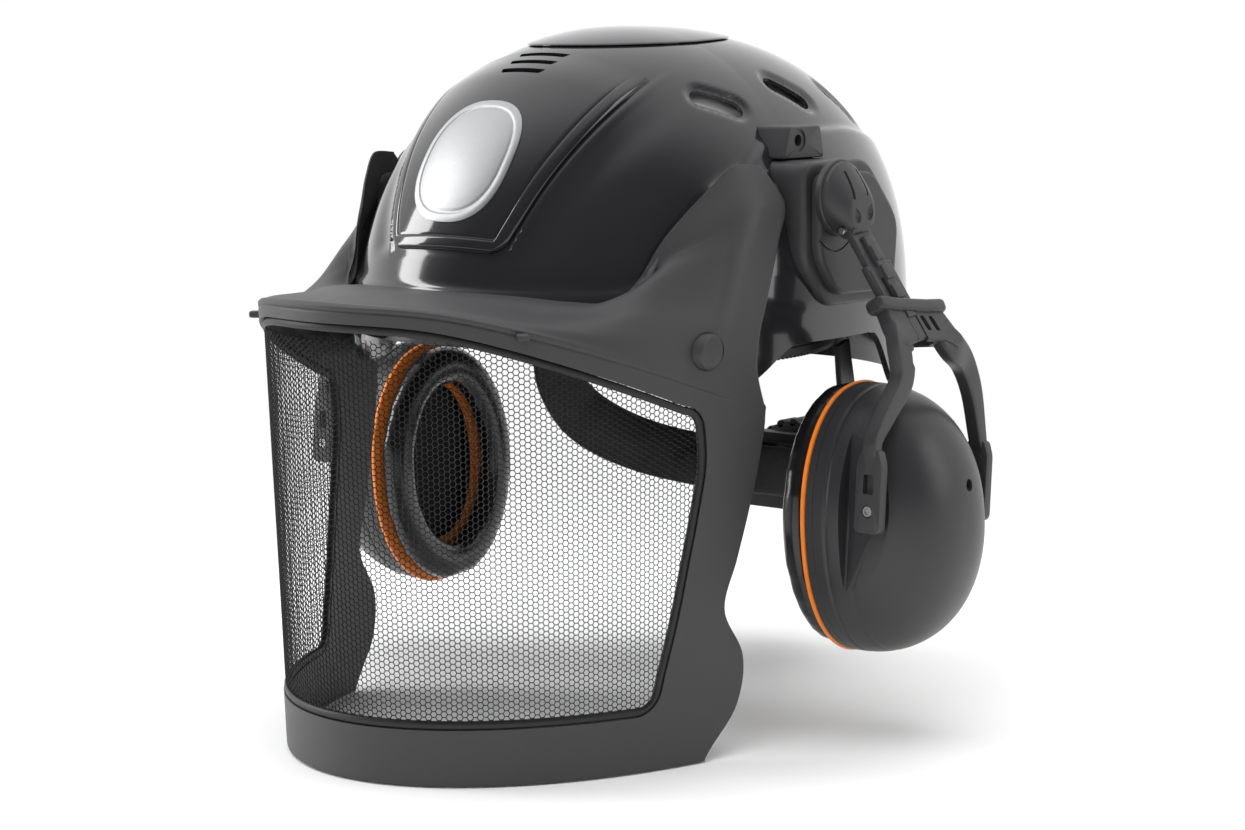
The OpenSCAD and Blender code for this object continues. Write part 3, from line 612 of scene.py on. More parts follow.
def buildShell():
    s = shell
    turn = np.linspace(0, 2 * math.pi, s["columns"], endpoint=False)[:, None]
    lift = np.radians(88.6 * np.linspace(0, 1, s["rings"]) ** 0.96)[None, :]
    d = np.stack([np.cos(turn) * np.cos(lift), np.sin(turn) * np.cos(lift), np.sin(lift) + 0 * turn], -1)
    skin = steppedSpot(d, 0)
    outer = steppedSpot(d, shellRelief(skin))
    wall = steppedSpot(d[:, ::3], -s["wall"])

    def skirt(grid, count):
        foot = grid[:, :1]
        drop = rimHeight(foot[..., 1])
        steps = np.linspace(0, 1, count, endpoint=False)[None, :]
        low = np.repeat(foot, count, 1)
        low[..., 2] = drop + (foot[..., 2] - drop) * steps
        return np.concatenate([low, grid], 1)

    out, inn = skirt(outer, 7), skirt(wall, 3)
    n, a, b = s["columns"], out.shape[1], inn.shape[1]
    verts = np.concatenate([out.reshape(-1, 3), inn.reshape(-1, 3), [out[:, -1].mean(0)],
                            [inn[:, -1].mean(0)]])
    io = np.arange(n * a).reshape(n, a)
    ii = np.arange(n * b).reshape(n, b) + n * a
    jo, ji = np.roll(io, -1, 0), np.roll(ii, -1, 0)
    quads = [np.stack([io[:, :-1], jo[:, :-1], jo[:, 1:], io[:, 1:]], -1).reshape(-1, 4),
             np.stack([ii[:, 1:], ji[:, 1:], ji[:, :-1], ii[:, :-1]], -1).reshape(-1, 4),
             np.stack([io[:, 0], ii[:, 0], ji[:, 0], jo[:, 0]], -1)]
    faces = np.concatenate(quads).tolist()
    tip = len(verts) - 2
    faces += [[int(io[i, -1]), int(jo[i, -1]), tip] for i in range(n)]
    faces += [[int(ji[i, -1]), int(ii[i, -1]), tip + 1] for i in range(n)]
    tools = slotTools()
    for place in vents["places"]:
        for sign in (1, -1):
            flip = np.array([sign, 1, 1])
            tools.append(oblongTool(np.array(place) * flip, np.array(vents["along"]) * flip,
                                    vents["length"], vents["radius"]))
    addPiece("shellSkin", carved((verts, faces), tools), "shell_gloss", "helmet", ["shell"], smooth=42)


def buildPanel():
    inset = np.array([0, 0.12, 0.35, 0.7, 1.2, 1.8, 2.6, 3.8, 4.9, 5.25, 5.5, 5.75, 6.1, 7.5])
    foot = np.array([0, 0.1, 0.3, 0.6, 1.1, 1.7, 2.4, 3.4, 4.6, 5.0, 5.3, 5.6, 6.0])
    length = 112.0
    down = np.concatenate([foot, np.linspace(7.2, length, 84)])
    t = down / length
    half = panelHalf(t) - np.where(down < 8, 8 - np.sqrt(np.maximum(0, 64 - (8 - down) ** 2)), 0)
    share = []
    for h in half:
        left = -(h - inset)
        mid = np.linspace(-(h - inset[-1]), h - inset[-1], 33)[1:-1]
        share.append(np.concatenate([left, mid, -left[::-1]]))
    x = np.array(share).T
    y = np.broadcast_to(17 + 49 * t, x.shape)
    edge = np.minimum(half[None, :] - abs(x), np.maximum(0, down)[None, :])
    crown = ease((down - 88) / 24)[None, :]
    height = 0.25 + 2.0 * np.sqrt(np.clip(1 - (1 - np.clip(edge / 2.2, 0, 1)) ** 2, 0, 1))
    height -= 0.35 * np.exp(-((edge - 5.5) / 0.3) ** 2) * (1 - crown)
    height -= 1.2 * crown
    outer = crownSpot(x, y, height)
    back = crownSpot(x, y, np.full(x.shape, 0.1))
    addPiece("frontPanel", carved(gridWall(outer, back), slotTools()), "panel_gloss", "helmet",
             ["front_panel"], smooth=50)


def domedOval(halfX, tiltMid, halfTilt, profile, base, count=96, bulge=2.0):
    t = np.linspace(0, 2 * math.pi, count, endpoint=False)
    c, s = np.cos(t), np.sin(t)
    u = np.sign(c) * abs(c) ** (2 / bulge)
    v = np.sign(s) * abs(s) ** (2 / bulge)
    rows = [(r, base) for r in (0.02, 0.5, 0.9, 0.985)] + profile
    return ringStack([crownSpot(halfX * r * u, tiltMid + halfTilt * r * v, np.full(count, off))
                      for r, off in rows])


def buildBadge():
    profile = [(1.0, 2.3), (1.0, 2.85), (0.985, 3.05), (0.95, 3.15), (0.9, 3.15), (0.885, 3.0),
               (0.875, 2.75), (0.84, 2.75), (0.825, 2.95), (0.8, 3.05), (0.6, 3.1), (0.4, 3.12),
               (0.2, 3.14), (0.03, 3.15)]
    addPiece("blankBadge", domedOval(23, 35, 13, profile, 2.05, bulge=2.5), "badge_metal", "helmet",
             ["badge"], smooth=50)


def buildCrownInsert():
    profile = [(1.0, 0.5), (1.0, 0.8), (0.99, 1.0), (0.97, 1.1), (0.8, 1.15), (0.6, 1.2), (0.4, 1.2),
               (0.2, 1.2), (0.03, 1.2)]
    addPiece("crownInsert", domedOval(38, 90, 21, profile, 0.35, bulge=2.2), "panel_gloss", "helmet",
             ["crown_insert"], smooth=50)


buildShell()
buildPanel()
buildBadge()
buildCrownInsert()
print("shell ready")


def lathe(profile, place, axis, count=48):
    axis = unitRows(np.array(axis, float))
    side = unitRows(np.cross(axis, (0.3, 0.2, 1) if abs(axis[2]) < 0.8 else (1, 0.2, 0.3)))
    other = np.cross(axis, side)
    t = np.linspace(0, 2 * math.pi, count, endpoint=False)[:, None]
    spokes = side * np.cos(t) + other * np.sin(t)
    return ringStack([np.array(place, float) + axis * along + radius * spokes for along, radius in profile])


def shellTool(off=0.1, floor=-60, columns=144, rings=30):
    turn = np.linspace(0, 2 * math.pi, columns, endpoint=False)[None, :]
    lift = np.radians(np.linspace(0, 87, rings))[:, None]
    d = np.stack([np.cos(turn) * np.cos(lift), np.sin(turn) * np.cos(lift), np.sin(lift) + 0 * turn], -1)
    rows = steppedSpot(d, off)
    foot = rows[:1].copy()
    foot[..., 2] = floor
    return ringStack(np.concatenate([foot, rows]))


def repeatPiece(name, places, turns, sizes, element, base=None, size=1.0, finish=None):
    # one mesh from an element set on many places, with an optional base joined in
    tree = bpy.data.node_groups.new(f"{name}Tree", "GeometryNodeTree")
    sockets = {}
    for label, kind in (("Places", "Geometry"), ("Element", "Object"), ("Base", "Object"),
                        ("Element Size", "Float"), ("Finish", "Material")):
        sockets[label] = tree.interface.new_socket(label, in_out="INPUT", socket_type=f"NodeSocket{kind}")
    tree.interface.new_socket("Piece", in_out="OUTPUT", socket_type="NodeSocketGeometry")
    link = tree.links.new
    start, end = tree.nodes.new("NodeGroupInput"), tree.nodes.new("NodeGroupOutput")
    info, baseInfo = (tree.nodes.new("GeometryNodeObjectInfo") for _ in range(2))
    link(start.outputs["Element"], info.inputs["Object"])
    link(start.outputs["Base"], baseInfo.inputs["Object"])
    turnValue, sizeValue = (tree.nodes.new("GeometryNodeInputNamedAttribute") for _ in range(2))
    for node, label in ((turnValue, "placeTurn"), (sizeValue, "placeSize")):
        node.data_type = "FLOAT_VECTOR"
        node.inputs["Name"].default_value = label
    toTurn = tree.nodes.new("FunctionNodeEulerToRotation")
    link(turnValue.outputs["Attribute"], toTurn.inputs[0])
    grow = addNode(tree, "ShaderNodeVectorMath", operation="SCALE")
    link(sizeValue.outputs["Attribute"], grow.inputs[0])
    link(start.outputs["Element Size"], grow.inputs["Scale"])
    spread = tree.nodes.new("GeometryNodeInstanceOnPoints")
    link(start.outputs["Places"], spread.inputs["Points"])
    link(info.outputs["Geometry"], spread.inputs["Instance"])
    link(toTurn.outputs[0], spread.inputs["Rotation"])
    link(grow.outputs[0], spread.inputs["Scale"])
    join = tree.nodes.new("GeometryNodeJoinGeometry")
    link(spread.outputs[0], join.inputs[0])
    link(baseInfo.outputs["Geometry"], join.inputs[0])
    real = tree.nodes.new("GeometryNodeRealizeInstances")
    paint = tree.nodes.new("GeometryNodeSetMaterial")
    link(join.outputs[0], real.inputs[0])
    link(real.outputs[0], paint.inputs["Geometry"])
    link(start.outputs["Finish"], paint.inputs["Material"])
    link(paint.outputs[0], end.inputs[0])

    def hold(label, mesh):
        obj = bpy.data.objects.new(label, mesh)
        bpy.context.scene.collection.objects.link(obj)
        return obj

    carrier = bpy.data.meshes.new(f"{name}Places")
    carrier.from_pydata((np.asarray(places) * mm).tolist(), [], [])
    for label, values in (("placeTurn", turns), ("placeSize", sizes)):
        attribute = carrier.attributes.new(label, "FLOAT_VECTOR", "POINT")
        attribute.data.foreach_set("vector", np.asarray(values, float).ravel())
    host = hold(f"{name}Host", carrier)
    part = hold(f"{name}Element", meshFrom(f"{name}Element", element, recalc=False))
    ground = hold(f"{name}Base", meshFrom(f"{name}Base", base)) if base is not None else None
    mod = host.modifiers.new("repeat", "NODES")
    mod.node_group = tree
    for label, value in (("Element", part), ("Base", ground), ("Element Size", size), ("Finish", finish)):
        if value is not None:
            mod[sockets[label].identifier] = value
    host.update_tag()
    bpy.context.view_layer.update()
    baked = bpy.data.meshes.new_from_object(host.evaluated_get(bpy.context.evaluated_depsgraph_get()))
    for obj in (host, part, ground):
        if obj is not None:
            bpy.data.objects.remove(obj)
    return baked


def addBaked(name, mesh, slotName, body, replaced=(), smooth=38):
    mesh.name = name
    mesh.materials.clear()
    mesh.materials.append(finishes[slotName])
    mesh.shade_smooth()
    mesh.set_sharp_from_angle(angle=math.radians(smooth))
    obj = bpy.data.objects.new(name, mesh)
    bpy.context.scene.collection.objects.link(obj)
    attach(obj, body)
    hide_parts(*replaced)
    return obj


# visor
visor = {"halfWidth": 111, "depth": 182.5, "middleY": -8.7, "grow": 0.03 / 108, "level": -86,
         "bottom": -167, "openBottom": -144, "wall": 3.2, "lip": 6.8, "openTurn": 67.3, "endTurn": 76.8,
         "corner": 9.0, "bevel": 2.5, "bevelStart": 0.8, "edgeRound": 1.1, "hinge": (-48, 56),
         "button": (-84, 2), "tabTurn": 37.7, "tabLift": 4.6}
earEdge = [[0, -132, 24], [22, -130.5, 24], [43, -124, 23], [60, -114, 21], [72, -103, 21], [79, -95, 30],
           [84.5, -88, 45], [90, -80, 55], [96, -71, 65], [101, -60, 74.5], [104, -44.5, 74]]
earRear = [[110, -51, -22.7], [109.5, -55.5, -8], [108.5, -53, 6], [107, -45, 22], [106, -36.5, 43],
           [105.5, -31.5, 59], [104, -44.5, 74]]
rearEdge = [-50, -53, -58, -64, -70, -59, -62, -78]
openEdge = [-84, -82, -85, -89, -93, -98, -104, -122]
wireMesh = {"pitch": 2.4, "wire": 0.23, "setBack": 1.2}


def visorGrow(z):
    return 1 + visor["grow"] * (z - visor["level"])


def visorSpot(turn, z, off=0.0):
    v, t = visor, np.radians(turn)
    k = visorGrow(z)
    return np.stack(np.broadcast_arrays((v["halfWidth"] * k + off) * np.sin(t),
                                        v["middleY"] - (v["depth"] * k + off) * np.cos(t), z), -1)


def visorTurn(y, z):
    return np.degrees(np.arccos(np.clip((visor["middleY"] - y) / (visor["depth"] * visorGrow(z)), -1, 1)))


def lipHeight(turn):
    y = visor["middleY"] - visor["depth"] * np.cos(np.radians(turn))
    s = -12.4 - 0.364 * (y + 98)
    return (17 + s - np.sqrt((17 - s) ** 2 + 16)) / 2


def edgeShare(z):
    return np.clip((z + 22) / (visor["bottom"] + 22), 0, 1)


def openEnd(z):
    return visorTurn(smoothCurve(openEdge, edgeShare(z)), z)


def rearEnd(z):
    return visorTurn(smoothCurve(rearEdge, edgeShare(z)), z)


def columnTurn(u):
    i = u * 26
    behind = blendTo(visor["openTurn"], visor["endTurn"], (i - 20) / 6)
    return np.where(i <= 20, visor["openTurn"] * i / 20, behind)


def creaseSpot(u):
    turn = columnTurn(u)
    return visorSpot(turn, lipHeight(turn) + visor["lip"], 1.5 * (1 - u))


def brimSpot(u, v):
    u, v = np.broadcast_arrays(np.clip(u, 0, 1), np.clip(v, 0, 1))
    b, i, r = creaseSpot(u), smoothCurve(earEdge, u), smoothCurve(earRear, v)
    foot = creaseSpot(np.array(0.0))
    line = np.stack([0 * v, blendTo(foot[1], earEdge[0][1], v), 24 + 1.6 * np.sin(np.pi * v)], -1)
    swell = 5 * np.sin(np.pi * v ** 1.3) * ease((u - 0.45) / 0.35) * (1 - ease((u - 0.8) / 0.2))
    U, V = u[..., None], v[..., None]
    low = (1 - U) * (1 - V) * foot + U * (1 - V) * np.array(earRear[0])
    corner = low + (1 - U) * V * np.array(earEdge[0]) + U * V * np.array(earEdge[-1])
    bulge = np.stack([swell, 0 * swell, 0 * swell], -1)
    return (1 - V) * b + V * i + (1 - U) * line + U * r - corner + bulge


def brimNormal(u, v, e=0.02):
    a = brimSpot(np.minimum(1, u + e), v) - brimSpot(np.maximum(0, u - e), v)
    b = brimSpot(u, np.minimum(1, v + e)) - brimSpot(u, np.maximum(0, v - e))
    return unitRows(np.cross(a, b))


def roundOff(distance, radius):
    k = np.clip(distance / radius, 0, 1)
    return -radius * 0.75 * (1 - np.sqrt(np.clip(1 - (1 - k) ** 2, 0, 1)))


def visorRows(u, outer):
    v = visor
    turn = columnTurn(u)
    d = 0.0 if outer else v["wall"]
    i = 26 * u
    share = (i - 20) / 6
    out = np.stack([np.sin(np.radians(turn)), -np.cos(np.radians(turn)), 0 * turn], -1)
    rows = []
    low = np.concatenate([[0, 0.02, 0.05, 0.09], np.linspace(0.16, 1, 7)])
    high = np.linspace(0, 1, 50)[1:]
    levels = [(v["bottom"] + (v["openBottom"] - v["bottom"]) * g + 0 * u, g * 23, 0.0) for g in low]
    levels += [(blendTo(v["openBottom"], lipHeight(turn), f), 99, np.clip(f * 9 - 8, 0, 1)) for f in high]
    for z, gap, swell in levels:
        t0, t1 = openEnd(z), rearEnd(z)
        t = np.where(share <= 0, t0 * i / 20, blendTo(t0, t1, share))
        back = (t1 - t) * 3.0
        off = 1.5 * (1 - u) * swell - d
        if outer:
            off = off + roundOff(np.minimum(gap + 0 * back, back), v["edgeRound"])
        rows.append(visorSpot(t, z, off))
    foot = rows[-1]
    top = creaseSpot(u) - (out + np.stack([0 * u, 0 * u, 1 - u], -1)) * d
    for w in np.linspace(0, 1, 21)[1:]:
        spot = blendTo(foot, top, w)
        if outer:
            line = 0.6 * math.exp(-((w - 0.72) / 0.06) ** 2)
            spot = spot - out * line * (1 - 0.9 * ease((u[:, None] - 0.8) / 0.1))
        rows.append(spot)
    steps = np.concatenate([np.linspace(0, 0.76, 36)[1:], [0.78, 0.793, 0.8, 0.807],
                            np.linspace(0.82, 0.985, 12), [0.992, 0.997, 1]])
    for s in steps:
        spot, normal = brimSpot(u, s), brimNormal(u, np.full(u.shape, s))
        off = -d + 0 * u
        if outer:
            ear = ease((u - 0.42) / 0.12)
            slope = np.clip((s - v["bevelStart"]) / (1 - v["bevelStart"]), 0, 1)
            off = off - v["bevel"] * ear * slope + roundOff((1 - u) * 60 + 0 * u, v["edgeRound"])
            off = off + roundOff(np.full(u.shape, (1 - s) * 60), 0.9) * (1 - ear)
        rows.append(spot + normal * off[:, None])
    return np.stack(rows, 1)


def windowSpot(g, f, inset, off):
    v = visor
    g, f = np.broadcast_arrays(g, f)
    z = blendTo(v["openBottom"] + inset, lipHeight(v["openTurn"] * abs(g)) - inset, f)
    radius = max(2.5, v["corner"] - inset)
    gap = np.minimum(f, 1 - f) * 116
    cut = radius - np.sqrt(np.maximum(0, radius ** 2 - np.maximum(0, radius - gap) ** 2))
    return visorSpot((openEnd(z) - (inset + cut) / 3.0) * g, z, off)


cornerSteps = np.array([0, 0.001, 0.004, 0.009, 0.016, 0.025, 0.036, 0.049, 0.064, 0.08])
windowRise = np.concatenate([cornerSteps, np.linspace(0.1, 0.9, 28), 1 - cornerSteps[::-1]])


def windowLoop(inset, off):
    across = np.linspace(-1, 1, 140)
    parts = [windowSpot(across[:-1], 0.0, inset, off), windowSpot(1.0, windowRise[:-1], inset, off),
             windowSpot(across[:0:-1], 1.0, inset, off), windowSpot(-1.0, windowRise[:0:-1], inset, off)]
    return np.concatenate(parts)


def buildVisorFrame():
    v = visor
    u = np.concatenate([np.linspace(0, 20 / 26, 84), np.linspace(20 / 26, 0.97, 16)[1:],
                        [0.98, 0.988, 0.993, 0.997, 1.0]])

    def whole(outer):
        half = visorRows(u, outer)
        return np.concatenate([half[:0:-1] * (-1, 1, 1), half])

    g = np.linspace(-1, 1, 120)[:, None]
    plug = gridWall(windowSpot(g, windowRise[None, :], 0, 7.0), windowSpot(g, windowRise[None, :], 0, -9.0))
    hubs, bores = [], []
    for s in (1, -1):
        y, z = v["hinge"]
        hubs.append(lathe([(0, 8.6), (0.3, 9), (1.9, 9)], (s * 99.3, y, z), (s, 0, 0), 64))
        bores.append(lathe([(0, 4.05), (7, 4.05)], (s * 95, y, z), (s, 0, 0), 64))
        y, z = v["button"]
        bores.append(lathe([(0, 7.7), (22, 7.7)], (s * 94, y, z), (s, 0, 0), 64))
    tabs = []
    tabSteps = ((-1.5, 1), (4.6, 0.95), (5.6, 0.85), (6.0, 0.6))
    z = lipHeight(v["tabTurn"]) + v["tabLift"]
    for s in (1, -1):
        turn = v["tabTurn"] * s
        spot, ahead = visorSpot(turn, z, 0.0), visorSpot(turn + 1, z, 0.0)
        side = unitRows(ahead - spot)
        out = np.array([side[1], -side[0], 0])
        tabs.append(sweptBar([(spot + out * d, side * 2.6 * k, np.array([0, 0, 1.5 * k]))
                              for d, k in tabSteps], 20, 4.5))
    body = carved(gridWall(whole(True), whole(False)), hubs + tabs, operation="UNION")
    addPiece("visorFrame", carved(body, [plug] + bores), "visor_matte", "visor", ["visor_frame"], smooth=40)


def buildGasket():
    outline = [(0.25, -0.9), (0.25, -2.6), (0.8, -3.1), (2.9, -3.1), (3.5, -2.6), (3.6, -1.5), (3.3, -0.7),
               (2.5, -0.4), (0.9, -0.4)]
    loops = np.stack([windowLoop(inset, off) for inset, off in outline], 1)
    addPiece("visorGasket", ringSweep(loops), "gasket_rubber", "visor", ["visor_gasket"], smooth=60)


def buildWireMesh():
    w, v = wireMesh, visor
    edge = w["pitch"] / math.sqrt(3)
    fine = np.linspace(-80, 80, 3201)
    path = visorSpot(fine, np.full(fine.shape, v["level"]), -w["setBack"])
    length = np.concatenate([[0], np.cumsum(np.linalg.norm(np.diff(path, axis=0), axis=1))])
    length -= length[len(length) // 2]
    columns = np.arange(-130, 131)
    rows = np.arange(-40, 40)
    s = (columns * 1.5 * edge)[:, None] + 0 * rows[None, :]
    z = v["level"] + rows[None, :] * w["pitch"] + (columns % 2)[:, None] * w["pitch"] / 2
    s, z = s.ravel(), z.ravel()
    turn = np.interp(s, length, fine)
    top = lipHeight(abs(turn))
    f = (z - v["openBottom"]) / (top - v["openBottom"])
    gap = np.minimum(f, 1 - f) * 116
    cut = v["corner"] - np.sqrt(np.maximum(0, v["corner"] ** 2 - np.maximum(0, v["corner"] - gap) ** 2))
    keep = (abs(turn) <= openEnd(z) - (1.2 + cut) / 3.0) & (z > v["openBottom"] + 1.2) & (z < top - 1.0)
    turn, z = turn[keep], z[keep]
    t = np.radians(turn)
    facing = np.arctan2(np.sin(t) / v["halfWidth"], np.cos(t) / v["depth"])
    turns = np.stack([0 * facing, 0 * facing, facing], -1)
    sizes = np.stack([visorGrow(z), np.ones(len(z)), np.ones(len(z))], -1)
    verts, faces = [], []
    for k in range(3):
        a = math.radians(120 * k)
        along, across = np.array([math.cos(a), 0, math.sin(a)]), np.array([-math.sin(a), 0, math.cos(a)])
        for end in (0.0, edge):
            for j in range(3):
                b = math.radians(120 * j + 90)
                spoke = across * math.cos(b) + np.array([0, -1, 0]) * math.sin(b)
                verts.append(along * end + w["wire"] * spoke)
        n = 6 * k
        faces += [[n + j, n + (j + 1) % 3, n + 3 + (j + 1) % 3, n + 3 + j] for j in range(3)]
    baked = repeatPiece("wireMesh", visorSpot(turn, z, -w["setBack"]), turns, sizes,
                        (np.array(verts), faces), finish=finishes["mesh_steel"])
    print("wire nodes", len(z), "triangles", sum(len(p.vertices) - 2 for p in baked.polygons))
    addBaked("wireMesh", baked, "mesh_steel", "visor", ["visor_mesh"], smooth=20)


def buildButtons():
    y, z = visor["button"]
    profile = [(95.6, 8.8), (95.9, 9.4), (97.3, 9.4), (97.6, 9.1), (97.7, 7.4), (106.4, 7.4),
               (107.0, 7.1), (107.4, 6.5), (107.5, 5.9), (107.4, 5.3), (107.15, 4.0), (107.0, 2.0),
               (106.95, 0.4)]
    addPair("visorButton", lathe(profile, (0, y, z), (1, 0, 0), 64), "visor_matte", "visor_button",
            ["visor_button"])


buildVisorFrame()
buildGasket()
buildWireMesh()
buildButtons()
print("visor ready")


# side trims
trims = {"adapter": [[-58, 40], [-50, 66], [-25.5, 66], [-25.5, 30], [-31, 24], [-44, 24]],
         "mount": [[-25, 75], [22, 75], [46, 50], [42, 14], [-8, 14], [-25, 34]],
         "core": [[-20, 70], [20, 70], [40, 48], [37, 19], [-6, 19], [-20, 36]],
         "socket": [[-22, 75.5], [8, 75.5], [5, 89], [-18, 89]], "swivel": (-10, 60),
         "socketHole": (-11, 83)}


def stackedLoops(levels):
    # levels hold x, a loop and its inset
    rings = []
    for x, loop, inset in levels:
        normal = unitRows(loop - loop.mean(0))
        rings.append([(x, *(p - n * inset)) for p, n in zip(loop, normal)])
    return ringStack(rings)


def buildTrims():
    under = shellTool()
    plate = roundedLoop(trims["adapter"], 3, 6)
    adapter = stackedLoops([(88, plate, 0), (96.6, plate, 0), (97.9, plate, 0.35), (98.4, plate, 1.2),
                            (98.6, plate, 2.2)])
    pin = lathe([(98.2, 4), (101.4, 4), (101.7, 3.7)], (0, *visor["hinge"]), (1, 0, 0), 64)
    addPair("visorAdapter", carved(carved(adapter, [pin], operation="UNION"), [under]), "trim_matte",
            "helmet", ["visor_adapter"])

    outer, core = roundedLoop(trims["mount"], 7, 8), roundedLoop(trims["core"], 7, 8)
    block = stackedLoops([(88, outer, 0), (107.2, outer, 0), (108.8, outer, 0.5), (109.6, outer, 1.2),
                          (110, outer, 2.2), (110, core, 0.4), (110.3, core, 0), (112.8, core, 0),
                          (113.9, core, 0.5), (114.4, core, 1.3), (114.5, core, 2.2)])
    y, z = trims["swivel"]
    recess = lathe([(0, 8), (10, 8)], (108, y, z), (1, 0, 0), 64)
    y0, z0 = y + 1.5, z - 3
    t = np.linspace(0, 2 * math.pi, 96, endpoint=False)
    cutRows = ((0.6, -0.45), (0.6, 0.45), (-0.8, 0.3), (-0.8, -0.3))
    groove = ringSweep([[(114.5 + dx, y0 + (16.8 + dr) * math.cos(a), z0 + (19.2 + dr) * math.sin(a))
                         for dx, dr in cutRows] for a in t])
    addPair("muffMount", carved(block, [recess, groove, under]), "trim_matte", "helmet", ["muff_mount"])

    socketLoop = roundedLoop(trims["socket"], 1.5, 5)
    y, z = trims["socketHole"]
    cap = stackedLoops([(80, socketLoop, 0), (96.4, socketLoop, 0), (97.1, socketLoop, 0.4),
                        (97.5, socketLoop, 1.1)])
    hole = lathe([(91, 2.5), (97.1, 2.5), (97.7, 3.1)], (0, y, z), (1, 0, 0), 48)
    seat = lathe([(96.9, 4.6), (99, 4.6)], (0, y, z), (1, 0, 0), 48)
    addPair("accessorySocket", carved(cap, [hole, seat, under]), "trim_matte", "helmet", ["socket"])


buildTrims()
print("trims ready")


# ear muffs, drawn on the left and mirrored
muff = {"swivelY": -10, "swivelZ": 60, "lean": 6, "flare": 31, "armX": 124, "armZ": -12, "barLength": 38,
        "forkX": 152, "forkZ": -127, "forkTurn": -10, "barTurn": -14, "legIn": 38.5, "cupZ": -135,
        "ringX": 119, "halfWide": 43, "halfTall": 57, "deep": 47, "power": 2.15}


def turnX(p, angle):
    a = math.radians(angle)
    c, s = math.cos(a), math.sin(a)
    return np.stack([p[..., 0], p[..., 1] * c - p[..., 2] * s, p[..., 1] * s + p[..., 2] * c], -1)


def turnY(p, angle):
    a = math.radians(angle)
    c, s = math.cos(a), math.sin(a)
    return np.stack([p[..., 0] * c + p[..., 2] * s, p[..., 1], -p[..., 0] * s + p[..., 2] * c], -1)


def muffPlace(p):
    return turnX(np.asarray(p, float), muff["lean"]) + (0, muff["swivelY"], muff["swivelZ"])


def armPlace(p):
    return turnY(np.asarray(p, float), -muff["flare"]) + (muff["armX"], 0, muff["armZ"])


def barPlace(p):
    return armPlace(turnX(np.asarray(p, float), muff["barTurn"]) + (0, 0, -muff["barLength"]))


def forkPlace(p):
    return turnX(np.asarray(p, float) - (0, 0, muff["forkZ"]), muff["forkTurn"]) + (0, 0, muff["forkZ"])


def softBar(low, high, edge=0.8):
    return withModifiers(boxShape(low, high), rounding(edge, 3))


def slabLoop(loop, thickness, edge=0.8):
    # a plate with a rounded outline in X and Z, thick along Y
    normal = unitRows(loop - loop.mean(0))
    low, high = thickness
    levels = [(low, edge), (low + edge * 0.3, edge * 0.3), (low + edge, 0), (high - edge, 0),
              (high - edge * 0.3, edge * 0.3), (high, edge)]
    return ringStack([[(q[0], y, q[1]) for q in loop - normal * inset] for y, inset in levels])


def eggSection(x, scale, count=72):
    s = min(1, max(0, (x - 119.8) / 9))
    t = np.linspace(0, 2 * math.pi, count, endpoint=False)
    d = np.stack([np.cos(t), np.sin(t)], -1)
    big, small = (15 - 5 * s, 1 - 7 * s), (10, -6)
    reach = [c * d[:, 1] + r for r, c in (big, small)]
    pick = reach[0] >= reach[1]
    radius = np.where(pick, big[0], small[0]) * scale
    middle = np.where(pick, big[1], small[1])
    return np.stack([np.full(count, x), d[:, 0] * radius, middle + d[:, 1] * radius], -1)


def buildPivotHead():
    m = muff
    levels = [(114.8, 0.985), (115.2, 1.0), (117.4, 1.0), (117.9, 0.975), (118.0, 0.93), (119.8, 0.925),
              (121.2, 0.94), (122.8, 0.95), (124.4, 0.955), (125.8, 0.95), (126.9, 0.935), (127.8, 0.905),
              (128.4, 0.86), (128.7, 0.8), (128.8, 0.7)]
    cap = ringStack([eggSection(x, k) for x, k in levels])
    stem = lathe([(108.5, 7.4), (109.0, 7.95), (115.4, 7.95)], (0, 0, 0), (1, 0, 0), 64)
    tools = [lathe([(-7.3, 4.5), (7.3, 4.5)], (m["armX"], 0, m["armZ"]), (0, 1, 0), 48)]
    for turn in range(-10, 27, 6):
        box = boxShape((-2.6, -7.3, -30), (2.6, 7.3, 0))
        tools.append(moved(box, lambda p, a=turn: turnY(p, -m["flare"] - a) + (m["armX"], 0, m["armZ"])))
    tools.append(lathe([(-10.5, 1.5), (10.5, 1.5)], (m["armX"], 0, m["armZ"]), (0, 1, 0), 48))
    for s in (1, -1):
        slit = boxShape((-4, -0.6, -6.5), (4, 0.6, 6.5))
        tools.append(moved(slit, lambda p, k=s: turnX(turnY(p, -33), -14) + (123.6, 4.6 * k, 5)))
        drop = lathe([(-2.6, 0.3), (-2.2, 1.3), (-1.2, 2.0), (0, 2.3), (1.2, 2.1), (2.8, 1.2), (4.4, 0.3)],
                     (0, 0, 0), (0, 0.35 * s, 1), 28)
        tools.append(moved(drop, lambda p, k=s: p * (0.7, 1, 1) + (128.9, 4.4 * k, -7)))
    shape = carved(carved(cap, [stem], operation="UNION"), tools)
    addPair("pivotHead", moved(shape, muffPlace), "arm_plastic", "swivel", ["pivot_head"], smooth=35)
    pin = lathe([(-10.3, 1.2), (-10.0, 1.5), (10.0, 1.5), (10.3, 1.2)], (m["armX"], 0, m["armZ"]),
                (0, 1, 0), 40)
    addPair("hingePin", moved(pin, muffPlace), "pin_steel", "swivel", ["hinge_pin"])


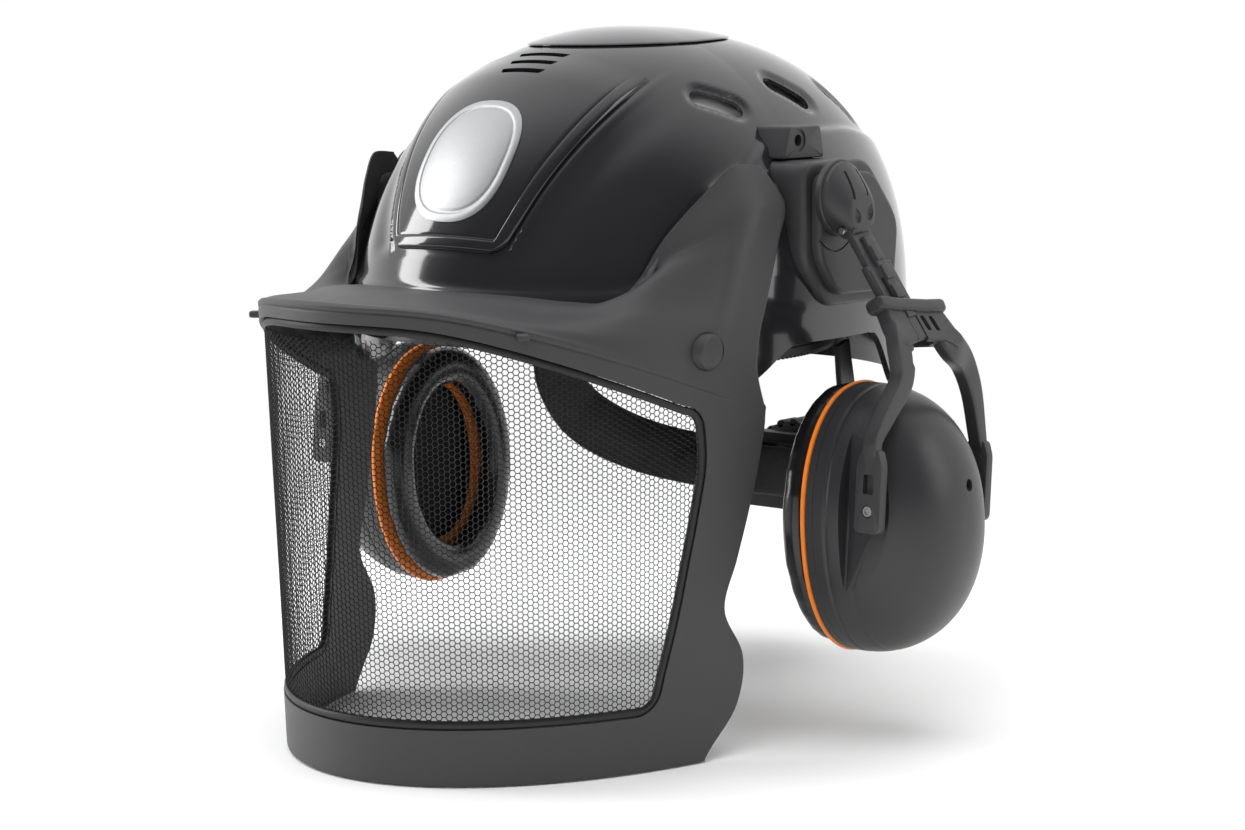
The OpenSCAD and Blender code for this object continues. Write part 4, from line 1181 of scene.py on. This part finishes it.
def buildArm():
    barrel = lathe([(-7, 3.6), (-6.6, 4), (6.6, 4), (7, 3.6)], (0, 0, 0), (0, 1, 0), 48)
    neck = softBar((-1.6, -7, -20), (1.6, 7, -1.5), 0.6)
    blade = softBar((-1.6, -9, -54), (1.6, 9, -17.5), 0.7)
    rib = softBar((1.2, -3, -54), (3.6, 3, -5.5), 0.6)
    pads = [softBar((1.0, s * 6 - 2.2, -52), (2.1, s * 6 + 2.2, -19.5), 0.5) for s in (1, -1)]
    teeth = [softBar((3.0, -2.8, -17 - 9 * k), (4.4, 2.8, -10.4 - 9 * k), 0.5) for k in range(4)]
    wedge = ringStack([[(1.4, -4.2, -18 - h), (1.4, 4.2, -18 - h), (1.4 + w, 3.4, -18 - h),
                        (1.4 + w, -3.4, -18 - h)]
                       for h, w in ((0, 0.2), (2.2, 1.2), (5.0, 1.9), (6.6, 1.9))])
    body = carved(barrel, [neck, blade, rib] + pads + teeth + [wedge], operation="UNION")
    bore = lathe([(-8, 1.55), (8, 1.55)], (0, 0, 0), (0, 1, 0), 40)
    shape = carved(body, [bore])
    addPair("muffArm", moved(moved(shape, armPlace), muffPlace), "arm_plastic", "arm", ["muff_arm"],
            smooth=35)


def buildFork():
    m = muff
    barSteps = ((-16.5, 0.75), (-16, 0.9), (-14.5, 1), (-6, 1), (4, 1), (14, 1), (23, 1), (24.4, 0.9),
                (25, 0.75))
    bar = moved(sweptBar([((0.75, y, -0.6 + 0.8 * abs((y - 4) / 20) ** 3), (5.0 * k, 0, 0), (0, 0, 3.2 * k))
                          for y, k in barSteps], 28, 3.6), barPlace)
    parts = []
    outline = roundedLoop([(-13, -1), (23, -1), (29, -12), (27, -20), (19, -16), (-1, -16), (-8, -20),
                           (-13, -12)], (1.5, 1.5, 2.5, 2.5, 4, 4, 2.5, 2.5), 5)
    normal = unitRows(outline - (4, -8))
    plateSteps = ((-2.8, 0.9), (-2.5, 0.3), (-1.9, 0), (2.6, 0), (3.4, 0.3), (3.8, 0.9))
    plate = ringStack([[(x, *(q - n * inset)) for q, n in zip(outline, normal)] for x, inset in plateSteps])
    parts.append(moved(plate, barPlace))
    for s in (1, -1):
        start = barPlace(np.array([0.4, 20.0 if s > 0 else -7.5, -9.0]))
        over = barPlace(np.array([0.4, 25.0 if s > 0 else -8.5, -17.0]))
        foot = forkPlace(np.array([m["forkX"], s * (m["legIn"] + 2.6), m["forkZ"] + 22.0]))
        knee = np.array([m["forkX"] + 0.5, *((39.5, -87.0) if s > 0 else (-27.0, -82.5))])
        hip = np.array([m["forkX"] + 0.6, *((33.0, -73.0) if s > 0 else (-14.0, -71.0))])
        ankle = foot + (0, -1.0 * s, 7.0)
        route = [start, over, hip, knee, ankle, foot]
        stations = []
        for f in np.linspace(0, 1, 36):
            spot = smoothCurve(route, f)
            down = unitRows(smoothCurve(route, min(1, f + 0.01)) - smoothCurve(route, max(0, f - 0.01)))
            wide = unitRows(np.array([1.0, 0, 0]) - down * down[0])
            half = smoothCurve([6.0, 6.2, 5.4, 4.4, 3.2, 2.5], f)
            stations.append((spot, wide * 3.2, np.cross(down, wide) * half))
        parts.append(sweptBar(stations, 32, 6.5))
        y = s * (m["legIn"] + 2.6)
        x, z = m["forkX"], m["forkZ"]
        loop = roundedLoop([(x - 6, z - 9), (x + 6, z - 9), (x + 6, z + 19), (x + 4, z + 25),
                            (x - 4, z + 25), (x - 6, z + 19)], (3, 3, 2, 1.5, 1.5, 2), 5)
        parts.append(moved(slabLoop(loop, (y - 2.5, y + 2.5), 0.7), forkPlace))
    solid = carved(bar, parts, operation="UNION")
    reach = m["barLength"] + 40
    tools = [moved(boxShape((-1.9, -9.3, -reach), (1.9, 9.3, 80 - reach)), armPlace),
             moved(boxShape((0, -3.3, -reach), (4.7, 3.3, 80 - reach)), armPlace)]
    for s in (1, -1):
        tools.append(moved(lathe([(-10, 2.5), (10, 2.5)], (m["forkX"], s * (m["legIn"] + 6), m["forkZ"]),
                                 (0, 1, 0), 48), forkPlace))
        y = s * (m["legIn"] + 2.6)
        x, z = m["forkX"], m["forkZ"]
        latch = roundedLoop([(x - 2.4, z + 7), (x + 2.4, z + 7), (x + 2.4, z + 15), (x - 2.4, z + 15)], 0.8,
                            3)
        tools.append(moved(slabLoop(latch, (y + s * 1.4 - 2.0, y + s * 1.4 + 2.0), 0.1), forkPlace))
    for k in (-1, 0, 1):
        notch = roundedLoop([(-1.6, -1.1), (1.6, -1.1), (1.6, 1.1), (-1.6, 1.1)], 0.6, 3) * (0.9, 3.0)
        slot = ringStack([[(x, q[0] + 9 + 5.6 * k - 0.35 * q[1], q[1] - 8.4) for q in notch]
                          for x in (2.2, 6.0)])
        tools.append(moved(slot, barPlace))
    addPair("muffFork", moved(carved(solid, tools), muffPlace), "arm_plastic", "fork", ["muff_fork"],
            smooth=35)
    profile = [(-6.2, 2.1), (-5.8, 2.5), (5.8, 2.5), (6.2, 2.1), (6.2, 1.3), (5.7, 1.1), (5.7, 0.2)]
    pins = []
    for s in (1, -1):
        y = s * (m["legIn"] - 1.3)
        pins.append(moved(lathe(profile, (m["forkX"], y, m["forkZ"]), (0, s, 0), 40), forkPlace))
    addPair("forkPins", moved(joinShapes(*pins), muffPlace), "pin_steel", "fork", ["fork_pins"])


def cupLoop(x, wide, tall, count=120):
    loop = ovalLoop(wide, tall, count, muff["power"])
    return np.stack([np.full(count, x), loop[:, 0], muff["cupZ"] + loop[:, 1]], -1)


def cupStack(start, depth, wide, tall, lines=(), steps=40, count=120):
    rings = []
    for k in np.linspace(0, 1, steps):
        s = math.sin(math.radians(88 * k))
        f = max(0.0001, 1 - s ** 2.3) ** (1 / 2.3)
        x = start + depth * s
        cut = sum(d * math.exp(-((x - at) / w) ** 2) for at, d, w in lines)
        rings.append(cupLoop(x, wide * f - cut, tall * f - cut, count))
    return rings


def buildCup():
    m = muff
    start = m["ringX"] + 6
    lines = ((start + 6.0, 0.7, 0.35), (start + 15.5, 0.25, 0.6))
    body = ringStack(cupStack(start, m["deep"], m["halfWide"], m["halfTall"], lines, 88))
    wide, tall = 31.5, m["halfTall"] - 4
    inside = cupStack(start, m["deep"] - 3.5, wide, tall, steps=20)
    hollow = ringStack([cupLoop(m["ringX"] + 5, wide, tall)] + inside)
    tools = [hollow]
    for s in (1, -1):
        z = m["forkZ"]
        loop = roundedLoop([(137, z - 42), (171, z - 42), (171, z + 48), (137, z + 48)], 6, 6)
        tools.append(moved(slabLoop(loop, (33.8, 66.4) if s > 0 else (-66.4, -33.8), 1.4), forkPlace))
        tools.append(moved(lathe([(-8, 2.55), (8, 2.55)], (m["forkX"], s * 36, z), (0, 1, 0), 48),
                           forkPlace))
    tools.append(lathe([(168.0, 2.2), (170.6, 2.6), (171.6, 3.6), (174, 5.5)], (0, 6, -118), (1, 0, 0), 40))
    addPair("cupShell", moved(carved(body, tools), muffPlace), "cup_plastic", "cup", ["cup_shell"],
            smooth=35)

    def ovalRing(profile, count=120):
        # profile rows hold x and the oval's two half sizes
        sections = [cupLoop(x, wide, tall, count) for x, wide, tall in profile]
        return ringSweep(np.stack(sections, 1))

    x, w, h = m["ringX"], m["halfWide"], m["halfTall"]
    base = ovalRing([(x + 2.0, w - 0.5, h - 0.5), (x + 2.4, w, h), (x + 5.6, w, h),
                     (x + 6, w - 0.5, h - 0.5), (x + 6, 27.4, 39.4), (x + 5.6, 27, 39), (x + 2.4, 27, 39),
                     (x + 2, 27.4, 39.4)])
    addPair("cupBase", moved(base, muffPlace), "cup_plastic", "cup", ["cup_base"])
    ring = ovalRing([(x, w - 0.2, h - 0.2), (x + 0.3, w + 0.4, h + 0.4), (x + 1.0, w + 0.6, h + 0.6),
                     (x + 1.7, w + 0.4, h + 0.4), (x + 2, w - 0.2, h - 0.2), (x + 2, 25, 37), (x, 25, 37)])
    addPair("accentRing", moved(ring, muffPlace), "accent_orange", "cup", ["accent_ring"])
    foamSteps = ((9, 0.6), (9, 0.97), (8, 1), (2.0, 1), (0.9, 0.97), (0.3, 0.9), (0.1, 0.8))
    foamRings = [cupLoop(x + 6.2 + d, 27 * k, 42 * k, 96) for d, k in foamSteps]
    foamRings += [cupLoop(x + 6.2 + 0.5 * (1 - k) + 0.25 * math.sin(9 * k), 27 * k, 42 * k, 96)
                  for k in (0.7, 0.6, 0.5, 0.4, 0.3, 0.2, 0.1, 0.03)]
    for piece in addPair("cupFoam", moved(ringStack(foamRings), muffPlace), "cup_foam", "cup", ["foam"],
                         smooth=180):
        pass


# soft pads swell under a little air pressure
pads = {"pressure": 4.0, "frames": 20, "voxel": 0.004, "smooth": 6, "cushionCap": 1.4, "padCap": 1.2}


def puffed(name, shape, cap, limit):
    start = withModifiers(shape, ("REMESH", {"mode": "VOXEL", "voxel_size": pads["voxel"]}))
    obj = bpy.data.objects.new(name, meshFrom(name, start))
    bpy.context.scene.collection.objects.link(obj)
    rest = np.array([v.co for v in obj.data.vertices]) / mm
    mod = obj.modifiers.new("air", "CLOTH")
    cloth = mod.settings
    cloth.use_pressure = True
    cloth.uniform_pressure_force = pads["pressure"]
    cloth.effector_weights.gravity = 0
    cloth.quality = 5
    cloth.mass = 0.3
    cloth.tension_stiffness = cloth.compression_stiffness = 15
    cloth.shear_stiffness = 8
    mod.point_cache.frame_start, mod.point_cache.frame_end = 1, pads["frames"]
    for number in range(1, pads["frames"] + 1):
        bpy.context.scene.frame_set(number)
        graph = bpy.context.evaluated_depsgraph_get()
        moving = obj.evaluated_get(graph)
        moving.data.vertices[0].co
    soft = bpy.data.meshes.new_from_object(moving)
    spots = np.array([v.co for v in soft.vertices]) / mm
    shift = spots - rest
    outward = np.array([v.normal for v in obj.data.vertices])
    push = np.clip((shift * outward).sum(1, keepdims=True), 0, cap)
    spots = limit(rest + outward * push)
    faces = [list(p.vertices) for p in soft.polygons]
    bpy.data.meshes.remove(soft)
    bpy.data.objects.remove(obj)
    bpy.context.scene.frame_set(1)
    return withModifiers((spots, faces), ("SMOOTH", {"factor": 0.5, "iterations": pads["smooth"]}),
                         ("SUBSURF", {"levels": 1, "render_levels": 1}))


def buildCushion():
    m = muff
    x0 = m["ringX"]
    sections = []
    for i in range(96):
        t = 2 * math.pi * i / 96
        notch = 1.6 * math.exp(-((t - 1.5 * math.pi) / 0.07) ** 2)
        row = []
        for k in range(20):
            f = math.radians(18 * k + 9)
            c, s = math.cos(f), math.sin(f)
            square = 0.28 if s > 0 else 0.8
            c, s = math.copysign(abs(c) ** square, c), math.copysign(abs(s) ** square, s)
            row.append((x0 - 7.0 + (6.8 if s > 0 else 6.4 - notch * 0.6) * s, (34 + 8.7 * c) * math.cos(t),
                        m["cupZ"] + (47 + (9.7 - notch) * c) * math.sin(t)))
        sections.append(row)

    def limit(p):
        q = p.copy()
        q[:, 0] = np.clip(q[:, 0], x0 - 14, x0 - 0.1)
        flat = q[:, 1:] - (0, m["cupZ"])
        size = np.hypot(flat[:, 0] / 43.0, flat[:, 1] / 57.0)
        return np.concatenate([q[:, :1], flat / np.maximum(1, size)[:, None] + (0, m["cupZ"])], 1)

    shape = puffed("cushionAir", ringSweep(sections), pads["cushionCap"], limit)
    for piece in addPair("earCushion", moved(shape, muffPlace), "cushion_vinyl", "cup", ["cushion"],
                         smooth=180):
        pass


buildPivotHead()
buildArm()
buildFork()
buildCup()
buildCushion()
print("ear muffs ready")


# harness
harness = {"wide": 79, "long": 99, "middleY": 2, "clips": [35, 90, 145], "lifts": [0, 2, 4], "napeZ": -80,
           "napeY": 116, "housingY": 117.4, "knob": 23, "frontLift": 13}
napeRoute = [[83, 44, -6], [83.5, 46, -22], [82.5, 52, -40], [77, 66, -57], [62, 88, -71], [34, 108, -79],
             [0, 115, -80]]


def bandLoop(grow, z, part=(0, 1), count=200):
    t = 2 * math.pi * np.linspace(part[0], part[1], count, endpoint=part != (0, 1))
    c, s = np.cos(t), np.sin(t)
    p = 2 / 2.1
    return np.stack([(harness["wide"] + grow) * np.sign(c) * abs(c) ** p,
                     harness["middleY"] + (harness["long"] + grow) * np.sign(s) * abs(s) ** p,
                     np.full(count, float(z))], -1)


def liftFront(p):
    # the lower edge rises towards the forehead, the upper edge stays level
    share = np.clip((-p[:, 1] - 20) / 56, 0, 1) * np.clip((18 - p[:, 2]) / 28, 0, 1)
    return p + np.stack([0 * share, 0 * share, harness["frontLift"] * share], -1)


def buildHeadband():
    profile = [(0.0, -9.4), (0.6, -10), (1.4, -10), (2.0, -9.4), (2.0, -6.6), (1.5, -6.2), (1.5, 14.2),
               (2.0, 14.6), (2.0, 17.4), (1.4, 18), (0.6, 18), (0.0, 17.4)]
    band = moved(ringSweep(np.stack([bandLoop(g, z) for g, z in profile], 1)), liftFront)
    tools = []
    for s in (1, -1):
        for k in (-1, 0, 1):
            tools.append(boxShape((s * 80 - 10, 14 + 26 * k - 7, 1.5), (s * 80 + 10, 14 + 26 * k + 7, 6.5)))
        tools.append(boxShape((s * 30 - 11, 90, 1.5), (s * 30 + 11, 110, 6.5)))
    base = carved(band, tools)
    # fine teeth along the lower edge at the back
    count = 120
    t = np.linspace(-0.1, math.pi + 0.1, count)
    p = 2 / 2.1
    c, s = np.cos(t), np.sin(t)
    spots = np.stack([(harness["wide"] + 1) * np.sign(c) * abs(c) ** p,
                      harness["middleY"] + (harness["long"] + 1) * np.sign(s) * abs(s) ** p,
                      np.full(count, -9.8)], -1)
    turns = np.stack([0 * t, 0 * t, np.arctan2(s * 79, c * 99)], -1)
    tooth = ringStack([[(-0.8 * k, -0.9 * k, z), (0.8 * k, -0.9 * k, z), (0.8 * k, 0.9 * k, z),
                        (-0.8 * k, 0.9 * k, z)] for z, k in ((0.6, 1), (-0.6, 1), (-1.2, 0.5))])
    small = (np.asarray(tooth[0]), tooth[1])
    baked = repeatPiece("headbandRing", spots, turns, np.ones((count, 3)), small, base=base,
                        finish=finishes["harness_plastic"])
    addBaked("headbandRing", baked, "harness_plastic", "helmet", ["headband"])
    rows = [(-4.2, -12.4), (-3.4, -13), (-1.2, -13), (-0.4, -12.2), (-0.35, 18.8), (-1.0, 19.8), (-3.4, 20),
            (-4.1, 19.2), (-4.25, 5)]
    part = (0.545, 0.955)
    section = np.stack([bandLoop(g, z, part) for g, z in rows], 1)
    addPiece("sweatbandCloth", moved(ringStack(section), liftFront), "sweat_fabric", "helmet",
             ["sweatband"])


def buildStraps():
    for name, turn, lift in zip(("Front", "Middle", "Rear"), harness["clips"], harness["lifts"]):
        a = math.radians(turn)
        r = 1 / math.hypot(math.cos(a) / 90, math.sin(a) / 111)
        peak = 99 + lift
        rings = []
        for t in np.linspace(0.02, math.pi - 0.02, 72):
            x, z = r * math.cos(t), 20.3 + (peak + 0.6 - 20.3) * math.sin(t) ** 0.8
            n = unitRows(np.array([math.cos(t) / r, math.sin(t) / (peak - 20)]))
            ring = []
            for across, thick in ((-8.8, 0.35), (-7.6, 0.55), (0, 0.58), (7.6, 0.55), (8.8, 0.35),
                                  (8.8, -0.35), (7.6, -0.55), (0, -0.58), (-7.6, -0.55), (-8.8, -0.35)):
                px, pz = x + n[0] * thick, z + n[1] * thick
                b = a + math.pi
                c, s = math.cos(b), math.sin(b)
                ring.append((px * c + across * s, 2 + px * s - across * c, pz))
            rings.append(ring)
        addPiece(f"crownStrap{name}", ringStack(rings), "webbing", "helmet",
                 [f"crown_strap_{name.lower()}"], smooth=50)
    clips = withModifiers(cadShape("harness_clips"), rounding(0.7, 2))
    addPiece("harnessClips", clips, "harness_plastic", "helmet", ["harness_clips"])


def buildCrownPad():
    sections = []
    for i in range(96):
        t = 2 * math.pi * i / 96
        c, s = math.cos(t), math.sin(t)
        sections.append([((17.5 + 7.7 * math.cos(f)) * c, 2 + (17.5 + 7.7 * math.cos(f)) * s,
                          93.5 + 1.6 * math.sin(f))
                         for f in np.radians(np.arange(0, 360, 24))])
    piece = addPiece("crownPad", ringSweep(sections), "pad_foam", "helmet", ["crown_pad"], smooth=180)


def napeMiddle(t):
    t = np.asarray(t, float)
    p = smoothCurve(napeRoute, 1 - abs(t))
    p[..., 0] = np.where(t < 0, -p[..., 0], p[..., 0])
    return p


def buildNape():
    h = harness
    section = ((0.5, 1), (0.95, 0.95), (1, 0.8), (0.75, 0.7), (0.75, -0.7), (1, -0.8), (0.95, -0.95),
               (0.5, -1), (-0.5, -1), (-1, -0.94), (-1, 0.94), (-0.5, 1))
    rings = []
    for t in np.linspace(0.98, -0.98, 141):
        p = napeMiddle(t)
        d = unitRows(napeMiddle(t + 0.01) - napeMiddle(t - 0.01))
        out = unitRows(np.array([p[0] / 85, (p[1] - 10) / 108, 0]))
        side = unitRows(np.cross(d, out))
        n = np.cross(side, d)
        half = smoothCurve([12.8, 12.8, 13, 13, 12, 10.5, 8.5], abs(t))
        rings.append([p + n * a * 1.2 + side * b * half for a, b in section])
    addPiece("napeStrap", ringStack(rings), "harness_plastic", "nape", ["nape_strap"])

    def limit(p):
        q = p.copy()
        q[:, 0] = np.clip(q[:, 0], -46, 46)
        q[:, 2] = np.clip(q[:, 2], h["napeZ"] - 17, h["napeZ"] + 17)
        q[:, 1] = np.minimum(q[:, 1], h["napeY"] - 3.5 - 17 * (q[:, 0] / 46) ** 2)
        return q

    rings = []
    for t in np.linspace(-0.97, 0.97, 48):
        y, half = h["napeY"] - 6.4 - 17 * t * t, 16 * math.sqrt(1 - 0.82 * t * t)
        soft = 2.4 * min(1, (1 - abs(t)) / 0.06 + 0.5)
        rings.append([(46 * t, y + soft * math.copysign(abs(math.sin(f)) ** 0.8, math.sin(f)),
                       h["napeZ"] + half * math.copysign(abs(math.cos(f)) ** 0.8, math.cos(f)))
                       for f in np.radians(np.arange(0, 360, 15))])
    piece = addPiece("napePad", puffed("napeAir", ringStack(rings), pads["padCap"], limit), "pad_foam",
                     "nape", ["nape_pad"], smooth=180)

    outline = roundedLoop([(-42, -15), (-42, 12), (-30, 17), (30, 17), (42, 12), (42, -15), (26, -20),
                           (-26, -20)], 5, 6)
    housing = moved(slabLoop(outline, (0, 9), 1.2), lambda p: p + (0, h["housingY"], h["napeZ"]))
    bore = lathe([(1, 5.05), (11, 5.05)], (0, h["housingY"], h["napeZ"]), (0, 1, 0), 64)
    addPiece("knobHousing", carved(housing, [bore]), "harness_plastic", "nape", ["knob_housing"])
    start = h["housingY"] + 9.3
    r = h["knob"]
    profile = [(-7.6, 4.6), (-7.2, 5), (0, 5), (0, r - 2.4), (0.4, r - 1.4), (12.2, r - 1.4), (13, r - 2.6),
               (13, 15), (12.2, 14.4), (12.2, 0.4)]
    base = lathe(profile, (0, start, h["napeZ"]), (0, 1, 0), 96)
    t = np.linspace(0, 2 * math.pi, 18, endpoint=False) + math.radians(10)
    reach = r - 2.1
    spots = np.stack([reach * np.cos(t), np.full(18, start + 6.5), h["napeZ"] + reach * np.sin(t)], -1)
    turns = np.stack([0 * t, -t, 0 * t], -1)
    ribSteps = ((-6.5, 0.7), (-6.0, 0.95), (-5.0, 1), (5.0, 1), (6.0, 0.95), (6.5, 0.7))
    rib = sweptBar([((0, y, 0), (2.1 * k, 0, 0), (0, 0, 2.3 * k)) for y, k in ribSteps], 16, 2.6)
    baked = repeatPiece("sizeKnob", spots, turns, np.ones((18, 3)), rib, base=base,
                        finish=finishes["harness_plastic"])
    addBaked("sizeKnob", baked, "harness_plastic", "knob", ["size_knob"])


buildHeadband()
buildStraps()
buildCrownPad()
buildNape()
print("harness ready")
